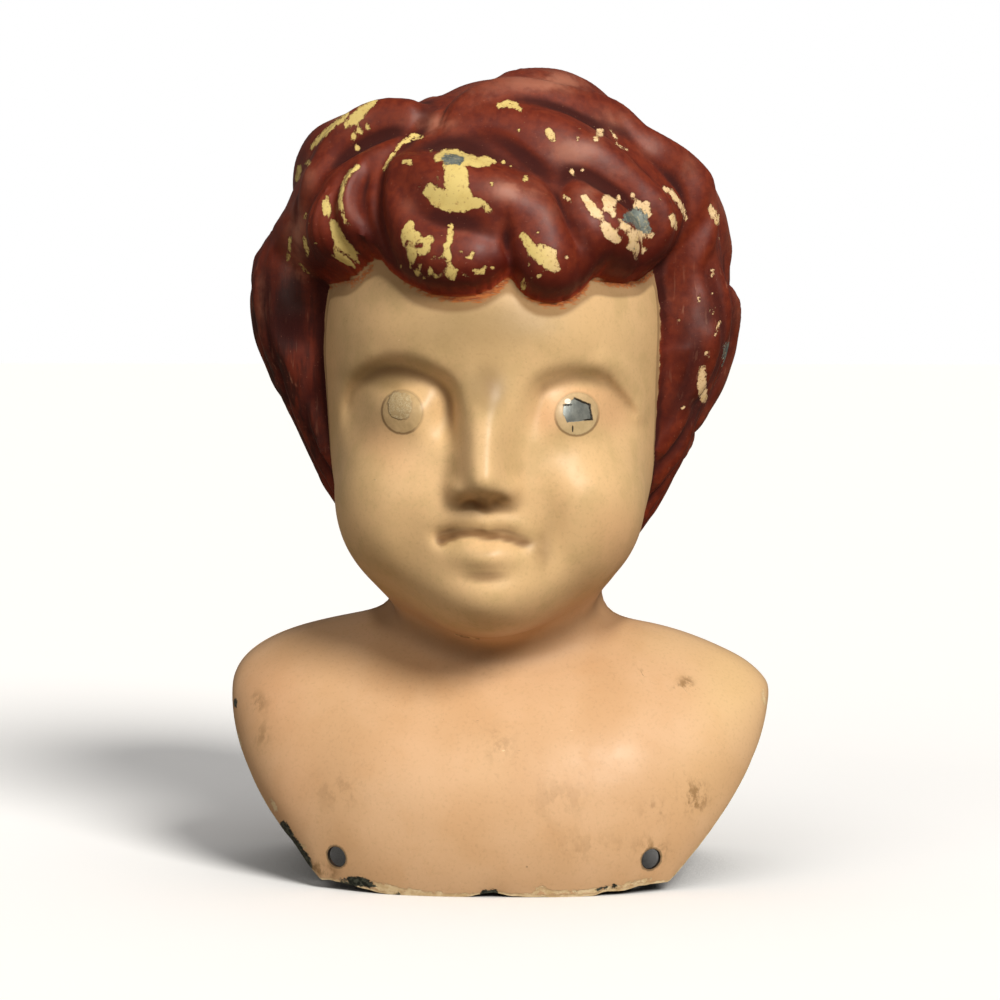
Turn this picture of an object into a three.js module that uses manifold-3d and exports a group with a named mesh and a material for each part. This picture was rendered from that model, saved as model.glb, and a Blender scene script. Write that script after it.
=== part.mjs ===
// Tin doll shoulder head: two stampings of thin sheet, a front and a back, soldered along a seam
// that runs over the crown and down the neck to the shoulder tips. Open underneath, hollow inside.
// Millimetres, +Z up, the face looks towards -Y, and the lower edge stands on z = 0.
import * as THREE from 'three';
import { ParametricGeometry } from 'three/addons/geometries/ParametricGeometry.js';
import { mergeGeometries, mergeVertices } from 'three/addons/utils/BufferGeometryUtils.js';
import Module from 'manifold-3d';

const wasm = await Module();
wasm.setup();

// ------------------------------------------------------------------ sizes
const WALL = 0.6;                    // thickness of the sheet with its paint
const SEAM_GAP = 0.3;                // between the two stampings
const HEAD = { x: -0.7, y: 1.0, z: 86.0 };   // centre of the head
const SPHERE = 41;                   // mean radius of the head, for distances along its surface
const SEAM_Y = 1.0;                  // plane of the seam
const MIDDLE_Y = 0.77;               // middle of the whole depth, brought to y = 0

// skin: cranium, face, two cheeks, chin and neck, as ellipsoids (centre, half axes)
const CRANIUM = [[-0.7, 0, 89], [29.4, 38.2, 37]];
const FACE = [[-1.0, -9, 67.9], [26.2, 27.5, 27.9]];
const CHEEK = [[12.2, -21.8, 62.6], [12.4, 13.5, 12.8]];
const CHIN = [[-0.8, -24.4, 52.6], [12, 12.3, 10.4]];
const NECK = { x: -0.4, y: 2, rx: 17.2, ry: 16, top: 69 };

// hair mass under its locks: height, half width, depth to the front and depth to the back
const HAIR_Z = [40, 46, 52, 58, 64, 72, 80, 89, 98, 108, 118, 126, 131, 133.7];
const HAIR_X = [15, 19, 22.5, 25.3, 28.1, 31.9, 35.6, 38.8, 39.4, 37.2, 32.2, 24.2, 14.5, 0.2];
const HAIR_F = [15, 18, 22, 26, 29, 32, 34.5, 37, 38.5, 37.5, 33, 25, 15, 0.2];
const HAIR_B = [14, 19, 25, 30, 33.5, 37, 39.2, 40.2, 39.8, 37.5, 32.5, 24.5, 15, 0.2];
const TEMPLE = 66;                   // azimuth where the hair meets the face, degrees
const FRINGE = 66;                   // angle from the crown where the hair mass meets the forehead
const EDGE_SIDE = 61.5, EDGE_NAPE = 47.5;    // height of the hair's lower edge
const HAIR_STEP = 8;                 // over how much surface the hair rises from the skin

// face: bosses and hollows (centre x, centre z, half widths, height), the face's own middle is x = FACE_X
const FACE_X = -0.6;
const RELIEF = [
  [0, 76, 3.2, 8.5, 3.2], [0, 67.4, 3.6, 3.4, 5.0],              // bridge and tip of the nose
  [-4.3, 65.2, 2.2, 2.3, 2.2], [4.3, 65.2, 2.2, 2.3, 2.2],       // wings
  [-8.6, 80, 4.6, 5.2, -2.3], [8.6, 80, 4.6, 5.2, -2.3],         // inner corners of the sockets
  [-17.5, 80.5, 6.5, 4.6, -1.2], [17.5, 80.5, 6.5, 4.6, -1.2],   // outer parts of the sockets
  [-14, 78.8, 4.8, 4.4, 1.7], [14, 78.8, 4.8, 4.4, 1.7],         // eyeballs
  [-13.5, 87.6, 9.5, 2.6, 0.9], [13.5, 87.6, 9.5, 2.6, 0.9],     // brows
  [0, 59.5, 8.5, 5, 1.5],                                        // muzzle
  [-2.8, 59.9, 3, 1.3, 1], [2.8, 59.9, 3, 1.3, 1],               // upper lip
  [0, 57.9, 6.8, 0.8, -1.3],                                     // mouth
  [0, 55.8, 4.3, 1.7, 1.3],                                      // lower lip
  [0, 53, 5.5, 1.5, -0.9], [0, 48.5, 6, 4.5, 0.8],               // under the lip, and the chin
];

// locks: stations (azimuth from the face, angle from the crown), half width, height, place of the widest part
const LOCKS = [
  { at: [[-21, 31], [-40, 28], [-64, 31], [-78, 42], [-70, 55]], w: 4.0, h: 4.4, m: 0.5 },
  { at: [[-24, 35], [-41, 44], [-52, 57], [-62, 64], [-67, 70]], w: 3.8, h: 2.7, m: 0.5 },
  { at: [[-31, 42], [-35, 52], [-34, 60], [-32, 67]], w: 3.7, h: 2.8, m: 0.6 },
  { at: [[-29, 37], [-39, 46], [-41, 54], [-36, 67]], w: 1.4, h: 3.4, m: 0.4 },
  { at: [[-28, 48], [-22, 56], [-13, 63], [-1, 67]], w: 5.9, h: 3.8, m: 0.75 },
  { at: [[-25, 46], [-14, 50], [-5, 53], [4, 56]], w: 4.4, h: 4.0, m: 0.6 },
  { at: [[-6, 43], [4, 50], [12, 58], [15, 66], [15, 71]], w: 5.3, h: 4.0, m: 0.7 },
  { at: [[26, 48], [28, 55], [32, 62], [38, 64]], w: 5.3, h: 4.2, m: 0.75 },
  { at: [[-24, 27], [-12, 15], [36, 9], [66, 20], [62, 31]], w: 4.0, h: 3.6, m: 0.45 },
  { at: [[-12, 36], [2, 28], [24, 26], [45, 30], [55, 40]], w: 2.7, h: 2.8, m: 0.5 },
  { at: [[-3, 38], [12, 38], [28, 41], [42, 49]], w: 3.0, h: 2.6, m: 0.5 },
  { at: [[58, 34], [72, 41], [84, 50], [82, 60], [76, 74]], w: 3.6, h: 4.5, m: 0.45 },
  { at: [[45, 45], [52, 52], [60, 61], [64, 69]], w: 3.0, h: 3.2, m: 0.5 },
  { at: [[-66, 60], [-76, 68], [-76, 80], [-73, 94]], w: 2.9, h: 2.6, m: 0.5 },
  { at: [[69, 71], [73, 84], [72, 100], [73, 118], [76, 130]], w: 2.7, h: 2.2, m: 0.4 },
  { at: [[-66, 72], [-71, 90], [-71, 106], [-73, 122]], w: 2.4, h: 1.9, m: 0.4 },
];
// the rest of the hair: rows of locks that sweep back and down round the sides and the back of the head
const ROWS = [
  { top: 12, low: 42, from: 98, to: 262, count: 5, sway: 16, w: 5.6, h: 3.2 },
  { top: 38, low: 74, from: 90, to: 270, count: 7, sway: -10, w: 5.8, h: 3.4 },
  { top: 70, low: 106, from: 88, to: 272, count: 8, sway: 9, w: 5.4, h: 3.2 },
  { top: 100, low: 136, from: 88, to: 272, count: 9, sway: -6, w: 4.6, h: 2.8 },
];

// shoulder plate
const PLATE = { x: 45.7, front: 35, back: 32, square: 2.25 };    // half width, depths, squareness of the plan
const TIP_Z = 31.2, CORNER = 41, FOOT = 1.5;     // rise of the edge from the bottom corners to the shoulder tips
const NECK_Z = 44.4, NECK_DIP = 6.4;     // where the neck ends at the sides, and how much lower in front
const TUCK = 4;                      // how far the chest draws in again at its lower edge
const BREASTS = [[-21, 25, 12, 9, 1.3], [20, 24, 12, 9, 1.4]];   // swell of the chest (x, z, half widths, height)
const SHOULDER_DROP = 1.4;            // the shoulder on the +X side sits a little lower
const SEW_HOLE = { d: 3.4, x: 25.4, y: 26, z: 5.8 };

// grid of the sheet: divisions round, down the head and down the plate
const FRONT = { round: 38, head: 34, plate: 8 };
const BACK = { round: 22, head: 22, plate: 7 };

// ------------------------------------------------------------------ small functions
const rad = THREE.MathUtils.degToRad;
const clamp = THREE.MathUtils.clamp;
const step = (a, b, x) => { const t = clamp((x - a) / (b - a), 0, 1); return t * t * (3 - 2 * t); };
const softMin = (a, b, k) => { const h = clamp(0.5 + 0.5 * (b - a) / k, 0, 1); return b + (a - b) * h - k * h * (1 - h); };
const softMax = (a, b, k) => -softMin(-a, -b, k);
// n + 1 places from 0 to 1, closer together where the density is high
function spread(n, density) {
  const sum = [0], m = 400;
  for (let k = 0; k < m; k++) sum.push(sum[k] + density((k + 0.5) / m));
  const places = [];
  for (let j = 0, k = 0; j <= n; j++) {
    while (k < m && sum[k + 1] < sum[m] * j / n) k++;
    places.push(j === n ? 1 : (k + (sum[m] * j / n - sum[k]) / (sum[Math.min(k + 1, m)] - sum[k])) / m);
  }
  return places;
}
const seeded = n => { const s = Math.sin(n * 127.1 + 311.7) * 43758.5453; return s - Math.floor(s); };

function ellipsoid(p, [c, r]) {
  const q = [p.x - c[0], p.y - c[1], p.z - c[2]];
  const k0 = Math.hypot(q[0] / r[0], q[1] / r[1], q[2] / r[2]);
  const k1 = Math.hypot(q[0] / r[0] ** 2, q[1] / r[1] ** 2, q[2] / r[2] ** 2);
  return k0 * (k0 - 1) / Math.max(k1, 1e-9);
}

function table(xs, ys, x) {
  x = clamp(x, xs[0], xs.at(-1));
  let i = 0;
  while (i < xs.length - 2 && x > xs[i + 1]) i++;
  const slope = k => k === 0 ? (ys[1] - ys[0]) / (xs[1] - xs[0])
    : k === xs.length - 1 ? (ys[k] - ys[k - 1]) / (xs[k] - xs[k - 1])
      : (ys[k + 1] - ys[k - 1]) / (xs[k + 1] - xs[k - 1]);
  const h = xs[i + 1] - xs[i], t = (x - xs[i]) / h;
  return (2 * t ** 3 - 3 * t ** 2 + 1) * ys[i] + (t ** 3 - 2 * t ** 2 + t) * h * slope(i)
    + (-2 * t ** 3 + 3 * t ** 2) * ys[i + 1] + (t ** 3 - t ** 2) * h * slope(i + 1);
}
const squares = v => v.map(a => a * a);
const HAIR_X2 = squares(HAIR_X), HAIR_F2 = squares(HAIR_F), HAIR_B2 = squares(HAIR_B);

// ------------------------------------------------------------------ head
function skin(p) {
  let d = ellipsoid(p, CRANIUM);
  d = softMin(d, ellipsoid(p, FACE), 6);
  for (const s of [-1, 1]) d = softMin(d, ellipsoid(p, [[HEAD.x + s * CHEEK[0][0], CHEEK[0][1], CHEEK[0][2]], CHEEK[1]]), 5);
  d = softMin(d, ellipsoid(p, CHIN), 5);
  const neck = (Math.hypot((p.x - NECK.x) / NECK.rx, (p.y - NECK.y) / NECK.ry) - 1) * NECK.ry;
  return softMin(d, softMax(neck, p.z - NECK.top, 4), 4);
}

function hairMass(p) {
  if (p.z > HAIR_Z.at(-1)) return 1;
  const x = p.x - HEAD.x, y = p.y - HEAD.y;
  const w = Math.max(table(HAIR_Z, HAIR_X2, p.z), 1e-4);
  const l = Math.max(table(HAIR_Z, y < 0 ? HAIR_F2 : HAIR_B2, p.z), 1e-4);
  return Math.sqrt(x * x / w + y * y / l) - 1;
}

const direction = (az, po) => new THREE.Vector3(Math.sin(az) * Math.sin(po), -Math.cos(az) * Math.sin(po), Math.cos(po));
const fromHead = (az, po, r) => direction(az, po).multiplyScalar(r).add(new THREE.Vector3(HEAD.x, HEAD.y, HEAD.z));

function reach(form, az, po) {
  let lo = 6, hi = 75;
  for (let k = 0; k < 30; k++) {
    const m = (lo + hi) / 2;
    if (form(fromHead(az, po, m)) > 0) hi = m; else lo = m;
  }
  return (lo + hi) / 2;
}

function hairBorder(az, po, r) {
  const side = (Math.abs(az) - rad(TEMPLE)) * r * Math.sin(po);
  const top = (rad(FRINGE) - po) * r;
  const edge = EDGE_SIDE + (EDGE_NAPE - EDGE_SIDE) * step(rad(62), rad(150), Math.abs(az));
  return Math.min(softMax(side, top, 3), HEAD.z + r * Math.cos(po) - edge);
}

// a lock is a smooth curve on the mean sphere with a half width and a height along it
function lock({ at, w, h, m }) {
  const curve = new THREE.CatmullRomCurve3(at.map(([az, po]) => direction(rad(az), rad(po)).multiplyScalar(SPHERE)));
  const n = 14, points = [];
  for (let k = 0; k <= n; k++) {
    const t = k / n, off = (t - m) / Math.max(m, 1 - m);
    points.push({ p: curve.getPoint(t).setLength(SPHERE), w: w * (1 - 0.45 * off * off), h: h * (1 - 0.35 * off * off) });
  }
  return points;
}
const locks = LOCKS.map(lock);
ROWS.forEach((row, k) => {
  for (let i = 0; i < row.count; i++) {
    const az = row.from + (row.to - row.from) * (i + 0.5) / row.count + 8 * (seeded(k * 31 + i) - 0.5);
    const side = az < 180 ? 1 : -1, swing = side * row.sway * (0.8 + 0.5 * seeded(k * 17 + i * 3));
    const at = [0, 0.33, 0.67, 1].map((t, j) => [az + swing * [-0.6, 0.5, 0.7, -0.5][j], row.top + (row.low - row.top) * t]);
    locks.push(lock({ at, w: row.w * (0.9 + 0.25 * seeded(k * 7 + i)), h: row.h, m: 0.6 }));
  }
});

function lockHeight(az, po) {
  const q = direction(az, po).multiplyScalar(SPHERE);
  let top = 0;
  for (const line of locks) {
    let best = 0;
    for (let k = 0; k + 1 < line.length; k++) {
      const a = line[k], b = line[k + 1];
      const ab = b.p.clone().sub(a.p), t = clamp(q.clone().sub(a.p).dot(ab) / ab.lengthSq(), 0, 1);
      const d = q.distanceTo(a.p.clone().addScaledVector(ab, t)) / (a.w + (b.w - a.w) * t);
      if (d < 1) best = Math.max(best, (a.h + (b.h - a.h) * t) * (1 - d * d) ** 0.9);
    }
    if (best > 0) top = softMax(top, best, 0.8);
  }
  return top;
}

function relief(p) {
  if (p.y > -8) return 0;
  let h = 0;
  for (const [x, z, a, b, height] of RELIEF) h += height * Math.exp(-(((p.x - FACE_X - x) / a) ** 2) - ((p.z - z) / b) ** 2);
  return h;
}

function headPoint(az, po) {
  const rs = reach(skin, az, po), rh = reach(hairMass, az, po);
  const border = hairBorder(az, po, rs);
  const t = clamp(border / HAIR_STEP, 0, 1);
  let r = rs + Math.max(rh - rs, 0) * Math.sqrt(1 - (1 - t) ** 2);
  const ripple = lockHeight(az, po) * step(-9, 1, border);
  return fromHead(az, po, r + ripple + (border < 0 ? relief(fromHead(az, po, rs)) * (1 - step(-3, 0, border)) : 0));
}

// ------------------------------------------------------------------ shoulder plate
function neckAngle(az) {
  const c = Math.cos(az), s = Math.sin(az);
  const z = NECK_Z - NECK_DIP * Math.max(c, 0) ** 2 - 1.5 * Math.max(-c, 0) ** 2;
  const r = 1 / Math.hypot(s / 17, c / (c > 0 ? 15 : 16.6));
  return Math.PI - Math.atan2(r, HEAD.z - z);
}

function platePoint(start, az, t) {
  const c = Math.cos(az), s = Math.sin(az), e = 2 / PLATE.square;
  const x1 = PLATE.x * Math.sign(s) * Math.abs(s) ** e;
  const y1 = SEAM_Y + (c > 0 ? -PLATE.front : PLATE.back) * Math.abs(c) ** e;
  const a = THREE.MathUtils.radToDeg(Math.atan2(Math.abs(s), Math.abs(c)));
  const u = clamp((a - CORNER) / (90 - CORNER), 0, 1);
  const z1 = TIP_Z * (u ** 1.05 - 0.45 * Math.max(u - 0.84, 0) ** 2 / 0.16) + FOOT * step(20, 38, a);
  const side = step(20, 90, a);
  const flare = 0.1 + 0.06 * side;
  const m = (c > 0 ? 1.9 : 2) + 0.7 * side, n = 2;
  const h = Math.sin(t * Math.PI / 2) ** (2 / m), v = Math.max(Math.cos(t * Math.PI / 2), 0) ** (2 / n);
  const g = flare * (1 - h) ** 3 + (1 - flare) * v;
  const p = new THREE.Vector3(start.x + (x1 - start.x) * h, start.y + (y1 - start.y) * h, z1 + (start.z - z1) * g);
  const inward = TUCK * (1 - step(34, 88, a)) * clamp((t - 0.6) / 0.4, 0, 1) ** 2;
  const l = Math.hypot(x1, y1);
  p.x -= x1 / l * inward; p.y -= y1 / l * inward;
  if (c > 0) for (const [x, z, rx, rz, height] of BREASTS) p.y -= height * Math.exp(-(((p.x - x) / rx) ** 2) - ((p.z - z) / rz) ** 2);
  p.z -= SHOULDER_DROP * step(22, 42, p.x) * step(28, 36, p.z);
  return p;
}

// ------------------------------------------------------------------ one stamping
function stamping(back, grid) {
  const { round, head, plate } = grid, rows = head + plate;
  const azimuth = i => {
    const u = 2 * i / round - 1;
    return back ? Math.PI + Math.PI / 2 * u : Math.PI / 2 * (0.62 * u + 0.38 * u ** 3);
  };
  const down = spread(head, t => 1 + (back ? 0.3 : 1) * Math.exp(-(((t - 0.74) / 0.16) ** 2)));
  const outer = [];
  for (let i = -1; i <= round + 1; i++) {
    const az = azimuth(i), line = [];
    for (let j = 0; j <= head; j++) line.push(headPoint(az, neckAngle(az) * down[j]));
    const start = line[head];
    for (let j = 1; j <= plate; j++) line.push(platePoint(start, az, j / plate));
    for (let k = 0; k < 2; k++) {                    // soft turn at the foot of the neck
      const copy = line.map(p => p.clone());
      for (let j = head - 2; j <= head + 2; j++) line[j].copy(copy[j]).multiplyScalar(0.5).addScaledVector(copy[j - 1], 0.25).addScaledVector(copy[j + 1], 0.25);
    }
    outer.push(line);
  }
  const at = (i, j) => outer[i + 1][j];
  const inner = [];
  for (let i = 0; i <= round; i++) {
    const line = [];
    for (let j = 0; j <= rows; j++) {
      const du = at(i + 1, j).clone().sub(at(i - 1, j));
      const dv = at(i, Math.min(j + 1, rows)).clone().sub(at(i, Math.max(j - 1, 0)));
      const n = j === 0 ? new THREE.Vector3(0, 0, 1) : dv.cross(du).normalize();
      const p = at(i, j).clone();
      if (j === rows) { n.z = 0; n.normalize(); }    // the rim keeps its height right through the sheet
      p.addScaledVector(n, -WALL);
      if (i === 0 || i === round) p.y = SEAM_Y;
      line.push(p);
    }
    inner.push(line);
  }
  for (const i of [0, round]) for (let j = 0; j <= rows; j++) at(i, j).y = SEAM_Y;
  const sheet = (pick, n, m) => new ParametricGeometry((u, v, target) => target.copy(pick(Math.round(u * n), Math.round(v * m))), n, m);
  const parts = [
    sheet((i, j) => at(i, rows - j), round, rows),
    sheet((i, j) => inner[i][j], round, rows),
    sheet((i, k) => (k ? at(i, rows) : inner[i][rows]), round, 1),
    sheet((j, k) => (k ? at(0, j) : inner[0][j]), rows, 1),
    sheet((j, k) => (k ? inner[round][j] : at(round, j)), rows, 1),
  ];
  return solid(parts, back ? SEAM_GAP / 2 : -SEAM_GAP / 2);
}

function solid(parts, shift) {
  for (const g of parts) { g.deleteAttribute('normal'); g.deleteAttribute('uv'); }
  const all = mergeVertices(mergeGeometries(parts), 1e-5);
  const pos = all.attributes.position.array, idx = all.index.array, keep = [];
  for (let k = 0; k < idx.length; k += 3) {
    const [a, b, c] = [idx[k], idx[k + 1], idx[k + 2]];
    if (a !== b && b !== c && c !== a) keep.push(a, b, c);
  }
  const vert = Float32Array.from(pos);
  for (let k = 1; k < vert.length; k += 3) vert[k] += shift - MIDDLE_Y;
  return new wasm.Manifold(new wasm.Mesh({ numProp: 3, vertProperties: vert, triVerts: Uint32Array.from(keep) }));
}

function tool(geometry) {
  geometry.deleteAttribute('normal'); geometry.deleteAttribute('uv');
  const g = mergeVertices(geometry, 1e-5);
  return new wasm.Manifold(new wasm.Mesh({ numProp: 3, vertProperties: Float32Array.from(g.attributes.position.array), triVerts: Uint32Array.from(g.index.array) }));
}

function sewHoles(body, side) {
  for (const s of [-1, 1]) {
    const bore = new THREE.CylinderGeometry(SEW_HOLE.d / 2, SEW_HOLE.d / 2, 12, 14);
    bore.rotateZ(-s * side * rad(30));
    bore.translate(s * SEW_HOLE.x, side * SEW_HOLE.y - MIDDLE_Y, SEW_HOLE.z);
    body = body.subtract(tool(bore));
  }
  return body;
}

function mesh(name, body, colour, roughness, metalness) {
  const out = body.getMesh();
  const g = new THREE.BufferGeometry();
  g.setAttribute('position', new THREE.BufferAttribute(Float32Array.from(out.vertProperties), 3));
  g.setIndex(new THREE.BufferAttribute(Uint32Array.from(out.triVerts), 1));
  g.computeVertexNormals();
  const m = new THREE.Mesh(g, new THREE.MeshStandardMaterial({ color: colour, roughness, metalness }));
  m.name = name;
  return m;
}

const dollHead = new THREE.Group();
dollHead.name = 'tin_doll_head';
dollHead.add(mesh('front_shell', sewHoles(stamping(false, FRONT), -1), 0xd8ab7c, 0.5, 0.1));
dollHead.add(mesh('back_shell', sewHoles(stamping(true, BACK), 1), 0x7a3324, 0.45, 0.1));

export default dollHead;
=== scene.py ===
from math import radians as rad, pi

import bmesh
import bpy
import numpy as np
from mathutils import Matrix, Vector
from mathutils.kdtree import KDTree


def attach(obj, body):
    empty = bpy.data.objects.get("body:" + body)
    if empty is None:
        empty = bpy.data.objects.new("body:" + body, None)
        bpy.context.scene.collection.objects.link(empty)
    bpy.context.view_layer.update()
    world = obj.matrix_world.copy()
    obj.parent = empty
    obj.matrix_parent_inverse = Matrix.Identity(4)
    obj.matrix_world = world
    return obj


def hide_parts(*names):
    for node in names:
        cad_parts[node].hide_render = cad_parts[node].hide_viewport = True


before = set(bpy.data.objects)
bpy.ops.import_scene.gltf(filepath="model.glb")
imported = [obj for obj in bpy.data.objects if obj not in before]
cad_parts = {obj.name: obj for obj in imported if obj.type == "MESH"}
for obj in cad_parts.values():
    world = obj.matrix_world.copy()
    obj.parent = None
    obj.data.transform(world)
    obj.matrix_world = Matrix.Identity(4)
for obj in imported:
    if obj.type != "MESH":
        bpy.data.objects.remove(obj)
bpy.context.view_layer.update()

# Millimetres and the frame of the solids: +Z up, the face looks towards -Y.
MM = 0.001
WALL = 0.6
SEAM_GAP = 0.06
SEAM_Y = 1.0
SEW_HOLES = [(-25.4, 5.8, 3.4), (25.4, 5.8, 3.4)]   # x, z, diameter; the same in front and behind
SEW_Y, SEW_TURN = 26.0, 30.0
MIDDLE_Y = 0.77
HEAD = np.array([-0.7, 1.0, 86.0])
SPHERE = 41.0

# ------------------------------------------------------------------ camera, as the photograph is taken
CAM_AZ, CAM_EL, CAM_DIST, MM_PER_PX = 2.3, 4.0, 560.0, 0.17
CAM_TARGET = np.array([0.0, 0.0, 62.5])
FOCAL_PX = CAM_DIST / MM_PER_PX


def camera_axes():
    a, e = rad(CAM_AZ), rad(CAM_EL)
    back = np.array([np.sin(a) * np.cos(e), -np.cos(a) * np.cos(e), np.sin(e)])
    right = np.array([np.cos(a), np.sin(a), 0.0])
    return right, np.cross(back, right), back


def project(p):
    """Where a point of the head falls in the photograph's frame of 1000 x 1000."""
    right, up, back = camera_axes()
    q = p - (CAM_TARGET + back * CAM_DIST)
    d = -(q @ back)
    return np.stack([500 + FOCAL_PX * (q @ right) / d, 500 - FOCAL_PX * (q @ up) / d], axis=-1)


# ------------------------------------------------------------------ small functions
def smin(a, b, k):
    h = np.clip(0.5 + 0.5 * (b - a) / k, 0, 1)
    return b + (a - b) * h - k * h * (1 - h)


def smax(a, b, k):
    return -smin(-a, -b, k)


def step(a, b, x):
    t = np.clip((x - a) / (b - a), 0, 1)
    return t * t * (3 - 2 * t)


def seeded(n):
    s = np.sin(n * 127.1 + 311.7) * 43758.5453
    return s - np.floor(s)


def ellipsoid(p, c, r):
    q = p - np.array(c, float)
    k0 = np.linalg.norm(q / np.array(r, float), axis=-1)
    k1 = np.linalg.norm(q / np.array(r, float) ** 2, axis=-1)
    return k0 * (k0 - 1) / np.maximum(k1, 1e-9)


def table(xs, ys, x):
    """Smooth curve through a short table."""
    xs, ys = np.asarray(xs, float), np.asarray(ys, float)
    x = np.clip(x, xs[0], xs[-1])
    i = np.clip(np.searchsorted(xs, x) - 1, 0, len(xs) - 2)
    m = np.empty(len(xs))
    m[1:-1] = (ys[2:] - ys[:-2]) / (xs[2:] - xs[:-2])
    m[0], m[-1] = (ys[1] - ys[0]) / (xs[1] - xs[0]), (ys[-1] - ys[-2]) / (xs[-1] - xs[-2])
    h = xs[i + 1] - xs[i]
    t = (x - xs[i]) / h
    return ((2 * t**3 - 3 * t**2 + 1) * ys[i] + (t**3 - 2 * t**2 + t) * h * m[i]
            + (-2 * t**3 + 3 * t**2) * ys[i + 1] + (t**3 - t**2) * h * m[i + 1])


def lattice(n):
    v = np.sin(n[..., 0] * 12.9898 + n[..., 1] * 78.233 + n[..., 2] * 37.719) * 43758.5453
    return v - np.floor(v)


def noise3(p):
    """Smooth value noise, about -1 to 1, one feature to a unit."""
    i = np.floor(p)
    f = p - i
    f = f * f * (3 - 2 * f)
    out = 0
    for dx in (0, 1):
        for dy in (0, 1):
            for dz in (0, 1):
                w = ((f[..., 0] if dx else 1 - f[..., 0]) * (f[..., 1] if dy else 1 - f[..., 1]) * (f[..., 2] if dz else 1 - f[..., 2]))
                out = out + w * lattice(i + np.array([dx, dy, dz], float))
    return 2 * out - 1


# ------------------------------------------------------------------ head without its relief
HAIR_Z = [40, 46, 52, 58, 64, 72, 80, 89, 98, 108, 118, 126, 131, 133.7]
HAIR_X = np.square([15, 19, 22.5, 25.3, 28.1, 31.9, 35.6, 38.8, 39.4, 37.2, 32.2, 24.2, 14.5, 0.2])
HAIR_F = np.square([15, 18, 22, 26, 29, 32, 34.5, 37, 38.5, 37.5, 33, 25, 15, 0.2])
HAIR_B = np.square([14, 19, 25, 30, 33.5, 37, 39.2, 40.2, 39.8, 37.5, 32.5, 24.5, 15, 0.2])
TEMPLE, FRINGE, HAIR_STEP = 66.0, 66.0, 8.0
EDGE_SIDE, EDGE_NAPE = 61.5, 47.5


def skin(p):
    d = ellipsoid(p, (-0.7, 0, 89), (29.4, 38.2, 37))
    d = smin(d, ellipsoid(p, (-1.0, -9, 67.9), (26.2, 27.5, 27.9)), 6)
    for s in (-1, 1):
        d = smin(d, ellipsoid(p, (HEAD[0] + s * 12.2, -21.8, 62.6), (12.4, 13.5, 12.8)), 5)
    d = smin(d, ellipsoid(p, (-0.8, -24.4, 52.6), (12, 12.3, 10.4)), 5)
    neck = (np.hypot((p[..., 0] + 0.4) / 17.2, (p[..., 1] - 2) / 16) - 1) * 16
    return smin(d, smax(neck, p[..., 2] - 69, 4), 4)


def hair_mass(p):
    x, y, z = p[..., 0] - HEAD[0], p[..., 1] - HEAD[1], p[..., 2]
    w = np.maximum(table(HAIR_Z, HAIR_X, z), 1e-4)
    l = np.maximum(np.where(y < 0, table(HAIR_Z, HAIR_F, z), table(HAIR_Z, HAIR_B, z)), 1e-4)
    return np.where(z > HAIR_Z[-1], 1.0, np.sqrt(x * x / w + y * y / l) - 1)


def direction(az, po):
    return np.stack([np.sin(az) * np.sin(po), -np.cos(az) * np.sin(po), np.cos(po)], axis=-1)


def reach(form, az, po):
    d = direction(az, po)
    lo, hi = np.full(az.shape, 6.0), np.full(az.shape, 75.0)
    for _ in range(26):
        m = (lo + hi) / 2
        out = form(HEAD + d * m[..., None]) > 0
        hi, lo = np.where(out, m, hi), np.where(out, lo, m)
    return (lo + hi) / 2


# ------------------------------------------------------------------ hairline: lower edge of the fringe, in the photograph's frame
HAIRLINE = [(321, 294), (329, 286), (338, 281), (349, 279), (358, 273), (367, 264), (374, 258), (381, 259), (390, 270), (410, 285), (430, 293), (452, 296.5), (475, 294.5),
            (491, 288), (502, 280), (508, 276), (513, 279), (519, 288), (528, 296), (541, 301.5), (555, 302), (570, 297.5), (582, 288), (590, 278), (596, 276), (604, 279.5), (622, 282), (638, 279), (648, 271), (655, 266)]


def shell_radius(az, po):
    """Radius of the hair without its locks, for directions inside the hair."""
    return np.maximum(reach(hair_mass, az, po), reach(skin, az, po))


def pick(points, lift, carrier=None):
    """Directions from the middle of the head to where the camera's rays through these points meet the hair, lifted."""
    pts = np.asarray(points, float)
    right, up, back = camera_axes()
    eye = CAM_TARGET + back * CAM_DIST
    ray = -back + right * ((pts[:, :1] - 500) / FOCAL_PX) - up * ((pts[:, 1:2] - 500) / FOCAL_PX)
    s = np.linspace(CAM_DIST - 75, CAM_DIST + 45, 241)
    p = eye + ray[:, None, :] * s[None, :, None]
    q = p - HEAD
    l = np.linalg.norm(q, axis=-1)
    az, po = np.arctan2(q[..., 0], -q[..., 1]), np.arccos(np.clip(q[..., 2] / l, -1, 1))
    f = l - (carrier or shell_radius)(az, po) - np.asarray(lift, float).reshape(-1, 1)
    inside = f < 0
    k = np.where(inside.any(axis=1), inside.argmax(axis=1), f.argmin(axis=1))
    i = np.arange(len(pts))
    g = np.clip(f[i, np.maximum(k - 1, 0)], 1e-6, None)
    w = np.where(inside.any(axis=1) & (k > 0), g / np.maximum(g - f[i, k], 1e-6), 1.0)
    q = q[i, np.maximum(k - 1, 0)] * (1 - w[:, None]) + q[i, k] * w[:, None]
    return np.arctan2(q[:, 0], -q[:, 1]), np.arccos(np.clip(q[:, 2] / np.linalg.norm(q, axis=1), -1, 1))


LINE_AZ, LINE_PO = pick(HAIRLINE, 0.3, lambda az, po: reach(skin, az, po))
LINE_R = 41.0


def side_border(az, po):
    """Azimuth of the painted edge beside the face, by side of the head."""
    p = np.degrees(po)
    l = np.interp(p, [60, 71, 118, 127, 136], [66, 66, 66, 71, 80])
    r = np.interp(p, [60, 71, 86, 101, 116, 125, 134], [65, 65.5, 62.5, 64.5, 66.5, 72, 80])
    return np.radians(np.where(az < 0, l, r))


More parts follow.
